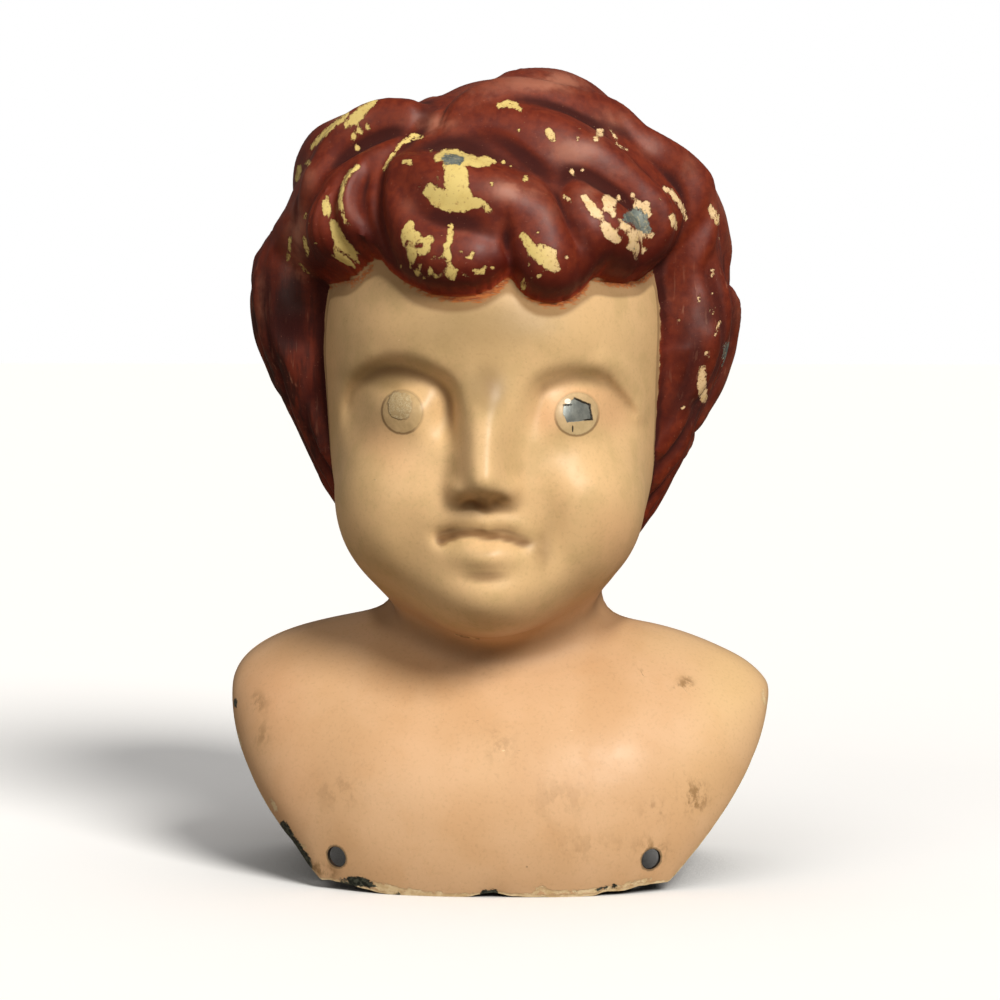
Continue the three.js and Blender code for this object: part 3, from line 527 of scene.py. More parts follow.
# ------------------------------------------------------------------ wear, painted shade and painted highlights, placed in the photograph's frame: chains of (x, y, radius) in pixels, and blots
UNDERCOAT = [
    # crossing roll
    [(438, 158, 4), (446, 155, 6), (455, 157, 8), (464, 160, 7), (472, 160, 5)], [(474, 163, 4.5), (487, 161, 5)],
    [(452, 166, 9), (456, 176, 12), (457, 186, 12), (455, 196, 12)], [(427, 192, 4.5), (438, 198, 9), (450, 201, 11), (463, 201, 11), (474, 203, 6), (485, 204, 3)],
    [(430, 187, 4)], [(431, 150, 1.5)], [(405, 162, 3), (411, 162.5, 2.5)], [(437.5, 179, 2)], [(494, 161.8, 2.2)], [(502.8, 162.4, 1.6)], [(510.6, 165.7, 1.2)],
    [(491.6, 184.7, 2)], [(525.6, 179, 2.8)], [(486, 210, 2.2), (492, 213, 2.4)], [(505.5, 213, 2)], [(420, 188.6, 1.5)],
    # scratch over its left end
    [(383, 171, 1.0), (393, 154, 1.4), (402, 142, 1.6)], [(405, 141, 2.6), (414, 136.5, 3), (421.5, 137.5, 2)],
    # left bulb
    [(410.5, 224, 3.5), (408, 233, 7), (412, 240, 10), (422, 246, 9), (430, 239, 4)], [(412, 251, 6), (413, 261, 3)],
    [(450.5, 226, 2.5), (450.5, 238, 3), (446.5, 247, 3), (449, 257, 2.5)], [(434, 258, 2), (447, 259, 2.2)],
    [(411, 270, 1.8), (418, 274, 2), (424, 277.5, 2)], [(421, 266.5, 1.8), (432, 268, 2), (428, 275, 2)],
    [(449, 265, 3), (450, 273, 5), (444, 273, 2.5)], [(452, 278.5, 2.5), (456.5, 271, 2)],
    [(460.4, 252.8, 1.6), (472.6, 259.5, 1.2)], [(472.6, 253, 1.8)], [(463, 274, 2.4), (470, 273.5, 2.4)], [(475, 272, 2.6), (483, 271.5, 2.6)], [(485, 268, 2)],
    [(492.7, 267.8, 1.8)], [(436, 278, 2), (441, 279, 1.6)], [(399.5, 266, 1.8)],
    # middle bulb
    [(523, 235, 3.5), (528, 243, 4.2), (533, 250, 5.5), (541, 256, 7), (550, 262, 8), (556, 268, 4.5)], [(553, 253, 4), (541, 247, 3.5)],
    [(571.4, 171.5, 2.6), (574, 174, 1.8)], [(582.6, 169, 1.8)], [(505.3, 213.2, 2.2)], [(538.3, 231.5, 1.8)], [(566.7, 257.4, 1.8)],
    [(527.7, 263.3, 2)], [(531.3, 275, 2.3)], [(538.9, 275.7, 2.5)], [(522.5, 281, 2), (523.5, 288, 2.4)],
    # right bulb
    [(584, 197, 3), (590, 205, 4.5), (595, 212, 4.5), (602, 218, 2.5)], [(604, 226, 4), (610, 233, 6), (617, 240, 4.5)],
    [(606, 199, 4.2), (613, 202, 4)], [(606, 206, 4), (613, 211, 3), (613, 216, 2.5)], [(637, 205, 4.8), (646, 206, 4.8), (647, 214, 4.5)],
    [(620, 222, 3), (627, 228, 3.5), (634, 233, 3.5), (644, 232, 4), (651, 235, 3.5)], [(633, 240, 4), (640, 241, 3)], [(628, 249, 2.6), (636, 250, 3)],
    [(644, 251, 3)], [(637, 257, 2.6)], [(564, 196.5, 1.6), (571, 201, 1.4)], [(618, 197.5, 2.2), (622, 199.5, 2)], [(633, 194.5, 2.6)], [(660.5, 200.2, 2)],
    [(664.5, 188, 2.2), (671, 192, 2.4), (677, 200, 2.2), (683, 209, 2), (686.5, 218.5, 1.8)], [(672, 216, 3), (675, 227, 2.6)], [(668.6, 240, 2.2)],
    # crown
    [(549, 132, 4), (553, 138, 3.5)], [(503, 162.4, 2)], [(577.9, 138.8, 2.5)], [(595.6, 138.8, 3)], [(600.3, 132.4, 4)], [(616, 143, 1), (627, 149.5, 1.1)],
    [(611, 131, 0.8), (616.8, 138.8, 0.8)], [(519, 131, 2)], [(499, 106, 2.4), (507, 104, 3.6), (516, 106, 3), (521, 110, 1.6)],
    # left side
    [(375, 102, 2.6), (365, 108, 4.4), (360, 114, 5.5), (352, 121, 4.5), (346, 126, 2.4)], [(372, 125, 2), (362, 131, 2.2), (354, 133, 2.6), (353, 140, 2)], [(357.7, 147.6, 3)],
    [(348, 114, 2.2), (327, 131, 2.6), (311, 147.5, 2.2)], [(300, 166, 2), (297, 180, 2)], [(308, 162.3, 3)],
    [(357.5, 166.5, 2.4), (349, 174, 1.8), (344.3, 182.4, 1.8), (341, 192, 1.9), (340.3, 201, 2), (342, 212, 1.6), (345, 221, 1.2), (353, 228, 1)],
    [(326, 199, 3), (327, 212, 4.4)], [(333, 223, 3.6), (338, 236, 5.5), (343, 246, 6.5), (352, 249, 3.5), (362, 251, 3)], [(335, 253, 3.8), (344, 259.5, 5), (355, 264, 4.4), (360, 258, 2.5)],
    [(290.7, 237, 1.2), (288, 260, 1.5)], [(305.4, 216, 2.8)], [(304, 237, 1.4), (308, 256, 2)], [(300, 263, 0.8), (310.8, 277.5, 1)], [(316, 242.7, 1.6)],
    # right side
    [(710, 206, 2.6), (714, 214, 4), (720, 223, 4.2)], [(722, 207, 3), (724, 216, 2.6)], [(721, 239, 2)], [(725, 243, 1.4)], [(712, 269, 1.8), (713, 276, 1.5)],
    [(699, 299, 2.8)], [(678, 312, 2.4), (678, 319, 2.6)], [(706, 310, 0.9), (715.5, 307, 1)], [(711, 315.5, 0.8), (714.5, 310.5, 0.8)], [(719.5, 322, 0.9), (716, 331, 0.9)],
    [(715, 335, 1.2)], [(706.5, 352, 1.5), (706.5, 357, 2.4)], [(702.8, 289, 1)], [(712, 294.5, 1.6)], [(702.8, 367, 2.6), (702, 376, 4), (702, 388, 4.2), (703.8, 399, 3.4)],
    [(707.5, 405, 1.4)], [(681, 409, 1), (684, 407, 1)], [(658.6, 355, 0.9), (658.6, 366, 0.9)],
]
PAINT_LEFT = [  # paint that still stands inside those chips
    [(409, 243.5, 3), (421, 245, 3)], [(452.5, 177, 1.3)], [(343, 253, 1.8), (354, 254.5, 2)], [(716, 217, 0.8), (719, 222, 1.0)], [(424, 271, 2)],
]
METAL = [
    [(447, 159, 4.6), (459, 159.5, 4.6)], [(627, 218, 5), (637, 216, 8), (642, 224, 7), (650, 232, 3.4)], [(730, 348, 6), (729, 366, 6)], [(634, 250, 1.2)],
]


DARK = [  # bare, darkened metal on the lower edge
    [(283, 824, 3.5), (290, 838, 5), (298, 851, 6), (307, 865, 5.5)], [(342, 880, 2.5), (352, 881.5, 5), (364, 882, 4.5), (374, 885.5, 2.5)], [(484, 893.5, 3), (496, 891.5, 2.6)],
    [(598, 888.5, 2), (606, 888.5, 2.2)], [(613.5, 886, 2.6), (617, 889, 2)], [(526, 867, 1.5)], [(235.5, 700, 2), (236, 706, 1.5)], [(393, 893, 1.5), (399, 893.5, 1.5)], [(576, 893, 1.5)],
]
PALE = [  # worn through to the pale undercoat along the edge
    [(372, 884, 3), (392, 890, 3.5), (420, 894, 3.5), (452, 896, 3), (480, 897, 2.5)], [(535, 893, 2), (541, 888, 2.4), (550, 893, 2.6), (575, 893, 2.5), (600, 890, 2.5), (622, 887, 2.6), (650, 880, 2.2)],
    [(293, 843, 1.6), (300, 845.5, 2.6), (305, 847, 1.6)], [(512, 896, 2.4), (530, 896.5, 2.6)], [(271, 800, 1.6), (276, 810, 1.6)], [(238, 735, 1.4), (241, 748, 1.4)], [(763, 690, 1.2), (764, 704, 1.4)],
]
# dark blots, (x, y, half widths in pixels, strength). On the face they are painted shade in the brows, between the
# eyes, under the nose, beside the mouth and under the jaw. The strong ones along the mouth line and in the nostrils are
# painted shadow. On the chest and near the lower edge they are stains and smudges
STAINS_AND_PAINTED_SHADE = [(490, 386, 12, 20, 0.45), (430, 400, 8, 14, 0.3), (400, 386, 26, 7, 0.3), (442, 541, 5.5, 4.5, 1.5), (452, 537, 7, 3.6, 1.2), (464, 534, 8, 3.2, 1.2), (479, 533, 8, 3.2, 1.15), (494, 536, 8, 3.2, 1.15), (508, 539, 8, 3.2, 1.1), (521, 543.5, 8, 3.4, 1.1), (486, 553, 26, 5, 0.25),
          (480, 503, 9, 6, 1.1), (503, 499, 8, 4, 0.6), (456, 500, 8, 7, 0.4), (490, 512, 20, 5, 0.3), (543, 548, 14, 30, 0.5), (400, 600, 34, 20, 0.12), (580, 610, 34, 14, 0.1), (694, 797, 15, 17, 0.55), (655, 812, 16, 14, 0.3), (686, 684, 8, 9, 0.5), (640, 668, 10, 14, 0.2), (676, 690, 6, 6, 0.3), (318, 872, 18, 9, 0.7), (262, 735, 12, 16, 0.25),
          (500, 745, 22, 26, 0.18), (430, 700, 60, 18, 0.08), (560, 800, 40, 30, 0.16), (340, 790, 40, 22, 0.2), (600, 850, 60, 20, 0.16), (258, 702, 12, 12, 0.3), (655, 850, 14, 12, 0.35)]
SCUFFS = [
    [(677, 682, 0.7), (690, 694, 0.7)], [(681, 690, 0.6), (688, 686, 0.5)], [(502, 751, 0.6), (512, 748, 0.5), (523, 752, 0.6)], [(640, 667, 0.6), (643, 676, 0.7)], [(470, 718, 0.5), (486, 724, 0.5)],
    [(606, 560, 0.5), (612, 566, 0.5)], [(372, 477, 0.8), (376, 480, 0.8)], [(399, 340, 0.8)], [(324, 755, 0.9)], [(560, 735, 0.5), (573, 730, 0.5)], [(455, 634.5, 0.9), (466, 637, 1.0), (479, 639, 0.8)],
    [(626, 690, 0.5), (634, 686, 0.5)], [(700, 720, 0.6), (706, 716, 0.5)], [(664, 806, 0.8)], [(345, 660, 0.5), (352, 664, 0.5)],
]
# paint tone and painted light: (x, y, half widths in pixels, strength). Positive blots are a pink flush round the eyes,
# on the cheeks and on parts of the chest. Negative blots on the face are painted shade on the forehead under the
# fringe, in the brows, between the eyes, beside the nose and along the jaw. On the chest they are yellower paint, on
# its right shoulder partly a painted highlight
TONE_AND_PAINTED_LIGHT = [(268, 690, 46, 50, 0.5), (292, 790, 40, 60, 0.4), (420, 745, 60, 50, 0.25), (735, 680, 46, 60, -0.7), (660, 640, 50, 26, -0.4), (700, 780, 60, 60, -0.3), (480, 760, 50, 50, -0.3), (480, 325, 95, 36, -0.85), (376, 374, 38, 12, -0.9), (402, 388, 26, 12, -0.6), (488, 390, 20, 24, -1.2), (584, 374, 36, 9, -0.4), (440, 400, 16, 24, -0.6), (549, 418, 24, 20, 0.7), (610, 415, 26, 22, 0.6), (578, 392, 40, 12, 0.5), (420, 392, 36, 16, 0.55), (450, 412, 16, 22, 0.4), (378, 440, 34, 26, 0.45), (622, 540, 46, 52, 0.55), (395, 470, 40, 28, 0.3),
         (485, 545, 46, 20, 0.25), (560, 470, 30, 40, -0.2), (400, 560, 50, 40, -0.35), (365, 480, 22, 30, -0.3), (495, 450, 10, 40, -0.2)]


PAINTED_SHEEN = [  # painted highlight: a pale, greyer sheen on the crests of the locks
    (512, 189, 28, 13, 0.9), (573, 150, 30, 15, 0.8), (432, 124, 26, 11, 0.8), (447, 150, 18, 8, 0.5), (296, 236, 12, 34, 0.9), (301, 276, 18, 18, 0.5), (546, 82, 52, 12, 0.9),
    (478, 98, 26, 12, 0.4), (588, 196, 16, 16, 0.6), (650, 146, 18, 14, 0.4), (688, 168, 12, 18, 0.4), (612, 120, 22, 14, 0.5), (668, 300, 12, 22, 0.3), (262, 300, 7, 30, 0.8),
    (345, 118, 26, 10, 0.5), (308, 170, 10, 22, 0.5), (714, 210, 10, 26, 0.3), (470, 232, 22, 9, 0.35), (548, 215, 18, 14, 0.35), (408, 206, 12, 12, 0.3), (700, 320, 14, 30, 0.3),
    (352, 210, 10, 22, 0.35), (375, 150, 16, 8, 0.35), (622, 172, 16, 10, 0.4),
]


def blots(px, lists):
    out = np.zeros(px.shape[:-1])
    for x, y, a, b, v in lists:
        out = out + v * np.exp(-(((px[..., 0] - x) / a) ** 2) - ((px[..., 1] - y) / b) ** 2)
    return out


def chains(px, lists):
    """Depth inside the nearest chain, in pixels; negative outside."""
    best = np.full(px.shape[:-1], -99.0)
    for pts in lists:
        if len(pts) == 1:
            pts = pts * 2
        for (ax, ay, ar), (bx, by, br) in zip(pts[:-1], pts[1:]):
            dx, dy = bx - ax, by - ay
            t = np.clip(((px[..., 0] - ax) * dx + (px[..., 1] - ay) * dy) / max(dx * dx + dy * dy, 1e-9), 0, 1)
            best = np.maximum(best, ar + (br - ar) * t - np.hypot(px[..., 0] - ax - t * dx, px[..., 1] - ay - t * dy))
    return best


# thin paint of the brush strokes under the fringe
THIN = [
    [(440, 300, 1.0), (462, 302, 1.2), (482, 298.5, 1.2), (497, 290, 1.1), (506, 280, 0.8)], [(470, 305, 0.6), (487, 301, 0.8), (500, 292, 0.8), (508, 284, 0.6)],
    [(545, 306.5, 1.2), (562, 306, 1.2), (577, 299.5, 1.1), (588, 289, 0.9)], [(560, 309.5, 0.6), (575, 304, 0.7), (586, 295.5, 0.6)],
    [(345, 286, 0.9), (358, 282, 1.0), (370, 273, 0.8)], [(352, 288, 0.5), (364, 281.5, 0.6), (372, 276, 0.5)], [(600, 283, 0.8), (615, 287.5, 1.0), (632, 287, 1.0), (646, 281.5, 0.8)],
    [(405, 283, 2.4), (425, 293, 3), (440, 297, 3.6), (458, 299, 4), (478, 297, 4.2), (496, 290, 4.4), (507, 280, 3)],
    [(500, 272, 1.5), (509, 276, 2)], [(524, 295, 2.6), (532, 300, 3), (545, 303.5, 3.6), (561, 303, 4.2), (576, 296, 4.4), (587, 286, 3.4)],
    [(594, 279, 2.6), (610, 283.5, 3.6), (628, 284, 3.8), (643, 280, 3.4), (652, 273, 2.8)],
    [(330, 288, 2), (338, 283.5, 2.2), (350, 282, 2.6), (362, 277, 2.8), (373, 266, 2.5)],
]


# ------------------------------------------------------------------ one pressed half as a grid
def spread(n, density):
    t = (np.arange(2000) + 0.5) / 2000
    c = np.concatenate([[0], np.cumsum(density(t))])
    return np.interp(np.linspace(0, c[-1], n + 1), c, np.linspace(0, 1, 2001))


def blur(a, k, axis):
    """Mean over 2k+1 neighbours along an axis, with the ends repeated."""
    pad = [(0, 0)] * a.ndim
    pad[axis] = (k, k)
    b = np.pad(a, pad, mode="edge")
    c = np.cumsum(b, axis=axis)
    zero = np.zeros_like(np.take(c, [0], axis=axis))
    c = np.concatenate([zero, c], axis=axis)
    n = a.shape[axis]
    hi = np.take(c, np.arange(2 * k + 1, 2 * k + 1 + n), axis=axis)
    lo = np.take(c, np.arange(0, n), axis=axis)
    return (hi - lo) / (2 * k + 1)


def strands(az, po):
    """Upright waves of the hair beside the face: how far a point is down in a hollow, 0 to 1, and how high on a ridge."""
    a = np.abs(az)
    beside = step(rad(50), rad(64), a) * step(rad(128), rad(106), a) * step(rad(58), rad(74), po)
    w = 0.5 + 0.5 * np.sin(a * 42 + 1.5 * np.sin(po * 6.0 + 0.8 * np.sign(az)) + 1.6 * noise3(direction(az, po) * 3.2) + 0.9 * np.sign(az))
    return (1 - w) ** 1.6 * beside, w * beside


def stamping(back, nu, nh, npl):
    i = np.arange(-1, nu + 2)
    u = 2 * i / nu - 1
    az1 = pi + pi / 2 * u if back else pi / 2 * (0.62 * u + 0.38 * u**3)
    down = spread(nh, lambda t: 1 + (0.3 if back else 1.5) * np.exp(-(((t - 0.71) / 0.16) ** 2)))
    az = az1[:, None] + 0 * down[None, :]
    wrapped = np.where(az > pi, az - 2 * pi, az)
    po = neck_angle(az) * down[None, :]
    rs, rh = reach(skin, wrapped, po), reach(hair_mass, wrapped, po)
    border = hair_border(wrapped, po, rs)
    t = np.clip(border / HAIR_STEP, 0, 1)
    top, groove, crest, cut = lock_field(wrapped, po)
    hollow, ridge = strands(wrapped, po)
    cut, top = np.maximum(cut, 1.15 * hollow), top + 0.3 * ridge
    t3 = np.clip((border + 0.25) / 3.4, 0, 1)
    foot = step(-0.2, 1.1, border)
    fade = np.sqrt(1 - (1 - t3) ** 2) * foot
    wave = 0.18 * noise3(direction(wrapped, po) * 9.0) * step(0, 6, border)
    for _ in range(2):
        top = blur(blur(top, 1, 0), 1, 1)
        cut = blur(blur(cut, 1, 0), 1, 1)
    r = rs + (np.maximum(rh - rs, 0) + LIFT) * np.sqrt(1 - (1 - t) ** 2) * foot + (top - cut + groove) * fade + wave
    head = HEAD + direction(wrapped, po) * r[..., None]
    if not back:
        base = HEAD + direction(wrapped, po) * rs[..., None]
        face = face_relief(base[..., 0], base[..., 2]) * (1 - step(-1.5, 0.5, border)) * step(-6, -14, base[..., 1])
        for _ in range(2):
            face = blur(blur(face, 1, 0), 1, 1)
        head[..., 1] -= face
    plate_t = np.linspace(0, 1, npl + 1)[1:]
    start = head[:, -1:, :]
    azp = az1[:, None] + 0 * plate_t[None, :]
    plate = plate_point(start + 0 * azp[..., None], azp, plate_t[None, :] + 0 * azp)
    P = np.concatenate([head, plate], axis=1)
    ahead = (step(rad(75), rad(45), np.abs(wrapped[:, :1])) if not back else 0 * wrapped[:, :1])[..., None]
    for k in range(60):                                 # soft turn at the foot of the neck, softer still in front
        a, b = (nh - 6, nh + 6) if k < 8 else (nh - 9, nh + 9)
        w = 0.5 if k < 8 else 0.5 * ahead
        P[:, a:b] = (1 - w) * P[:, a:b] + w / 2 * P[:, a - 1 : b - 1] + w / 2 * P[:, a + 1 : b + 1]
    low = np.clip((np.arange(P.shape[1]) - (P.shape[1] - 7)) / 6.0, 0, 1)[None, :] ** 2
    nick = 0.28 * np.maximum(noise3(P * np.array([0.45, 0.45, 0]) + 2.2), 0)
    if not back:
        nick = nick + 0.75 * np.exp(-(((P[..., 0] - 0.0) / 2.6) ** 2)) + 0.5 * np.exp(-(((P[..., 0] + 33.0) / 1.6) ** 2)) + 0.45 * np.exp(-(((P[..., 0] - 18.0) / 1.2) ** 2)) * (P[..., 1] < -20)
    P[..., 2] += nick * low
    dent = noise3(P / 17.0 + 3.1) * 0.22 + noise3(P / 7.0 + 9.7) * 0.07       # hand-worn sheet is never quite even
    rows = nh + npl
    pad = lambda a, fill: np.concatenate([a, np.full((a.shape[0], npl), float(fill))], axis=1)
    A = dict(crest=pad(crest * fade, 0), cut=pad(cut * fade, 0), po=np.concatenate([po, pi + azp * 0], axis=1), az=np.concatenate([wrapped, np.where(azp > pi, azp - 2 * pi, azp)], axis=1), border=pad(border, -30))
    du = P[2:] - P[:-2]
    dv = np.empty_like(P[1:-1])
    dv[:, 1:-1] = P[1:-1, 2:] - P[1:-1, :-2]
    dv[:, 0], dv[:, -1] = P[1:-1, 1] - P[1:-1, 0], P[1:-1, -1] - P[1:-1, -2]
    N = np.cross(dv, du)
    N[:, 0] = (0, 0, 1)
    N /= np.maximum(np.linalg.norm(N, axis=-1), 1e-9)[..., None]
    P = P[1:-1] + N * (dent[1:-1] * step(0, 0.02, np.arange(rows + 1) / rows)[None, :] * step(1, 0.97, np.arange(rows + 1) / rows)[None, :])[..., None]
    A = {k: v[1:-1] for k, v in A.items()}
    inner = P - WALL * N
    q = P - HEAD
    l = np.linalg.norm(q, axis=-1)
    low = l.copy()
    reach_ = 5
    for axis in (0, 1):
        pad_ = [(0, 0), (0, 0)]
        pad_[axis] = (reach_, reach_)
        m = np.pad(low, pad_, mode="edge")
        low = np.min([np.take(m, np.arange(i, i + low.shape[axis]), axis=axis) for i in range(2 * reach_ + 1)], axis=0)
    low = blur(blur(low, 4, 0), 4, 1)
    w = step(0.55, 0.8, np.einsum("...i,...i", N, q / l[..., None]))
    w = blur(blur(w, 5, 0), 5, 1) * (np.arange(rows + 1) < nh - 6)[None, :]
    w = blur(w, 4, 1)
    inner = inner * (1 - w[..., None]) + (HEAD + q / l[..., None] * (low - WALL)[..., None]) * w[..., None]
    edge = N[:, -1].copy()
    edge[:, 2] = 0
    edge /= np.linalg.norm(edge, axis=-1)[:, None]
    inner[:, -1] = P[:, -1] - WALL * edge
    P[0, :, 1] = P[-1, :, 1] = SEAM_Y
    inner[0, :, 1] = inner[-1, :, 1] = SEAM_Y
    P[:, 0] = P[:, 0].mean(0)
    inner[:, 0] = P[:, 0] - np.array([0, 0, WALL])
    # hollows and crests of the surface, over about 2 mm
    k = 5
    smooth = blur(blur(P, k, 0), k, 1)
    A["cave"] = np.clip(np.einsum("...i,...i", smooth - P, N), -1.5, 1.5)
    A["cave"][:, :6] = 0
    return P, inner, N, A


def paint(P, N, A, back):
    """Where the paints end and where they are worn, as signed distances in millimetres, and where shade and highlights
    are painted.
    """
    px = project(P)
    right, up, toward = camera_axes()
    facing = N @ toward
    po = A["po"]
    hair = A["border"] + 0.1 + 0.12 * noise3(P / 2.4)
    hair = np.where(po > 3.1, -20, hair)
    vis = step(0.0, 0.12, facing) * (0.0 if back else 1.0)
    chip = np.where(vis > 0.5, chains(px, UNDERCOAT), -30) * 0.16
    left = np.where(vis > 0.5, chains(px, PAINT_LEFT), -30) * 0.16
    chip = np.minimum(chip, -left)
    metal = np.where(vis > 0.5, chains(px, METAL), -30) * 0.16
    thin = np.where(vis > 0.5, chains(px, THIN), -30) * 0.16
    out = dict(hair=hair, chip=chip, metal=metal, thin=thin)
    for key, lists in (("dark", DARK), ("pale", PALE), ("scuff", SCUFFS)):
        out[key] = np.where(vis > 0.5, chains(px, lists), -30) * 0.16
    out["stain_and_shade"], out["tone_and_painted_light"] = blots(px, STAINS_AND_PAINTED_SHADE) * vis, blots(px, TONE_AND_PAINTED_LIGHT) * vis
    # painted highlight: sheen blots on the locks in front, and on the crests elsewhere
    out["painted_sheen"] = blots(px, PAINTED_SHEEN) * vis + (1 - vis) * 0.6 * A["crest"]
    rows = np.arange(P.shape[1])[None, :] + 0 * P[..., 0]
    rim = np.linalg.norm(P - P[:, -1:], axis=-1)
    out["rim"] = np.where(rows > P.shape[1] - 30, rim, 30)
    seam = np.abs(P[..., 1] - SEAM_Y)
    out["seam"] = seam
    out["chest"] = step(rad(141), rad(150), po)
    out["cave"], out["crest"], out["cut"] = A["cave"], A["crest"], A["cut"]
    out["fringe"] = (1 - step(rad(58), rad(66), np.abs(A["az"]))) * (0 if back else 1)
    return out


def build(name, back, nu, nh, npl):
    """A closed mesh: outer sheet, coarser inner sheet, seam edges and lower edge."""
    P, I, N, A = stamping(back, nu, nh, npl)
    att = paint(P, N, A, back)
    k = 3
    rows = nh + npl
    iu, ir = np.arange(0, nu + 1, k), np.arange(0, rows + 1, k)
    assert iu[-1] == nu and ir[-1] == rows
    J = I[iu][:, ir]
    shift = np.array([0, (SEAM_GAP / 2 if back else -SEAM_GAP / 2) - MIDDLE_Y, 0])
    V, ids = [], {}

    def add(points):
        start = sum(len(v) for v in V)
        V.append(points.reshape(-1, 3))
        return np.arange(start, start + points.reshape(-1, 3).shape[0]).reshape(points.shape[:-1])

    o = add(P[:, 1:])
    pole = add(P[0, :1])[0]
    O = np.concatenate([np.full((nu + 1, 1), pole), o], axis=1)
    n_ = add(J[:, 1:])
    ipole = add(J[0, :1])[0]
    Q = np.concatenate([np.full((len(iu), 1), ipole), n_], axis=1)
    faces = []
    # outer
    a, b, c, d = O[:-1, :-1], O[1:, :-1], O[1:, 1:], O[:-1, 1:]
    quads = np.stack([d, c, b, a], axis=-1)
    faces += [tuple(f) for f in quads[:, 1:].reshape(-1, 4)]
    faces += [(O[i, 1], O[i + 1, 1], pole) for i in range(nu)]
    outer_count = len(faces)
    a, b, c, d = Q[:-1, :-1], Q[1:, :-1], Q[1:, 1:], Q[:-1, 1:]
    quads = np.stack([a, b, c, d], axis=-1)
    faces += [tuple(f) for f in quads[:, 1:].reshape(-1, 4)]
    faces += [(ipole, Q[i + 1, 1], Q[i, 1]) for i in range(len(iu) - 1)]

    def strip(fine, coarse, flip):
        for m in range(len(coarse) - 1):
            f = [fine[m * k + s] for s in range(k + 1)]
            ring = [coarse[m], coarse[m + 1]] + f[::-1]
            ring = [v for j, v in enumerate(ring) if v != ring[j - 1]]
            faces.append(tuple(ring if flip else ring[::-1]))

    strip(O[:, rows], Q[:, -1], False)
    strip(O[0, :], Q[0, :], True)
    strip(O[nu, :], Q[-1, :], False)
    verts = (np.concatenate(V) + shift) * MM
    me = bpy.data.meshes.new(name)
    me.from_pydata([tuple(v) for v in verts], [], [tuple(int(x) for x in f) for f in faces])
    me.validate()
    n_outer = P[:, 1:].reshape(-1, 3).shape[0] + 1
    total = len(verts)
    for key, value in att.items():
        arr = np.zeros(total)
        arr[: n_outer - 1] = value[:, 1:].reshape(-1)
        arr[n_outer - 1] = value[0, 0]
        if key in ("hair", "chip", "metal", "thin", "dark", "pale", "scuff"):
            arr[n_outer:] = -30
        me.attributes.new(key, "FLOAT", "POINT").data.foreach_set("value", arr.astype(np.float32))
    inside = np.zeros(total)
    inside[n_outer:] = 1
    me.attributes.new("inside", "FLOAT", "POINT").data.foreach_set("value", inside.astype(np.float32))
    me.polygons.foreach_set("use_smooth", [True] * len(me.polygons))
    ob = bpy.data.objects.new(name, me)
    bpy.context.scene.collection.objects.link(ob)
    return ob


def sew_holes(ob, back):
    """Cuts the round holes through the sheet; the attributes of the old points are kept on the new ones."""
    scene = bpy.context.scene.collection
    side = 1 if back else -1
    old = ob.data
    n = len(old.vertices)
    co = np.empty(n * 3, np.float32)
    old.vertices.foreach_get("co", co)
    co = co.reshape(-1, 3)
    cutters, axes = [], []
    for x, z, d in SEW_HOLES:
        turn = rad(SEW_TURN) * (1 if x > 0 else -1)
        axis = np.array([np.sin(turn), side * np.cos(turn), 0.0])
        mid = np.array([x, side * SEW_Y - MIDDLE_Y, z]) * MM
        up, across = np.array([0, 0, 1.0]), np.array([axis[1], -axis[0], 0.0])
        ring = []
        for e in (-6 * MM, 6 * MM):
            for k in range(56):
                a = 2 * pi * k / 56
                ring.append(mid + axis * e + (across * np.cos(a) + up * np.sin(a)) * d / 2 * MM)
        faces = [tuple(range(55, -1, -1)), tuple(range(56, 112))] + [(k, (k + 1) % 56, 56 + (k + 1) % 56, 56 + k) for k in range(56)]
        me = bpy.data.meshes.new("bore")
        me.from_pydata([tuple(v) for v in ring], [], faces)
        bm = bmesh.new()
        bm.from_mesh(me)
        bmesh.ops.recalc_face_normals(bm, faces=bm.faces)
        bm.to_mesh(me)
        bm.free()
        c = bpy.data.objects.new("bore", me)
        scene.objects.link(c)
        mod = ob.modifiers.new("bore", "BOOLEAN")
        mod.operation, mod.solver, mod.object = "DIFFERENCE", "EXACT", c
        cutters.append(c)
        axes.append((mid, axis))
    bpy.context.view_layer.update()
    new = bpy.data.meshes.new_from_object(ob.evaluated_get(bpy.context.evaluated_depsgraph_get()))
    ob.modifiers.clear()
    for c in cutters:
        me = c.data
        bpy.data.objects.remove(c)
        bpy.data.meshes.remove(me)
    m = len(new.vertices)
    now = np.empty(m * 3, np.float32)
    new.vertices.foreach_get("co", now)
    now = now.reshape(-1, 3)
    # every point takes its values from the nearest point of the whole sheet
    every = KDTree(n)
    for i in range(n):
        every.insert(co[i], i)
    every.balance()
    source = np.array([every.find(v)[1] for v in now])
    for att in old.attributes:
        if att.domain != "POINT" or att.data_type != "FLOAT":
            continue
        v = np.empty(n, np.float32)
        att.data.foreach_get("value", v)
        target = new.attributes.get(att.name) or new.attributes.new(att.name, "FLOAT", "POINT")
        target.data.foreach_set("value", v[source])
    hole = np.full(m, 30.0)
    for mid, axis in axes:
        q = now - mid
        hole = np.minimum(hole, np.where(np.abs(q @ axis) < 7 * MM, np.linalg.norm(q - np.outer(q @ axis, axis), axis=1) / MM, 30.0))
    new.attributes.new("hole", "FLOAT", "POINT").data.foreach_set("value", hole.astype(np.float32))
    new.polygons.foreach_set("use_smooth", [True] * len(new.polygons))
    new.set_sharp_from_angle(angle=rad(50))
    name = old.name
    ob.data = new
    bpy.data.meshes.remove(old)
    new.name = name


front = build("front_half", False, 300, 198, 57)
back = build("back_half", True, 216, 162, 48)
sew_holes(front, False)
sew_holes(back, True)


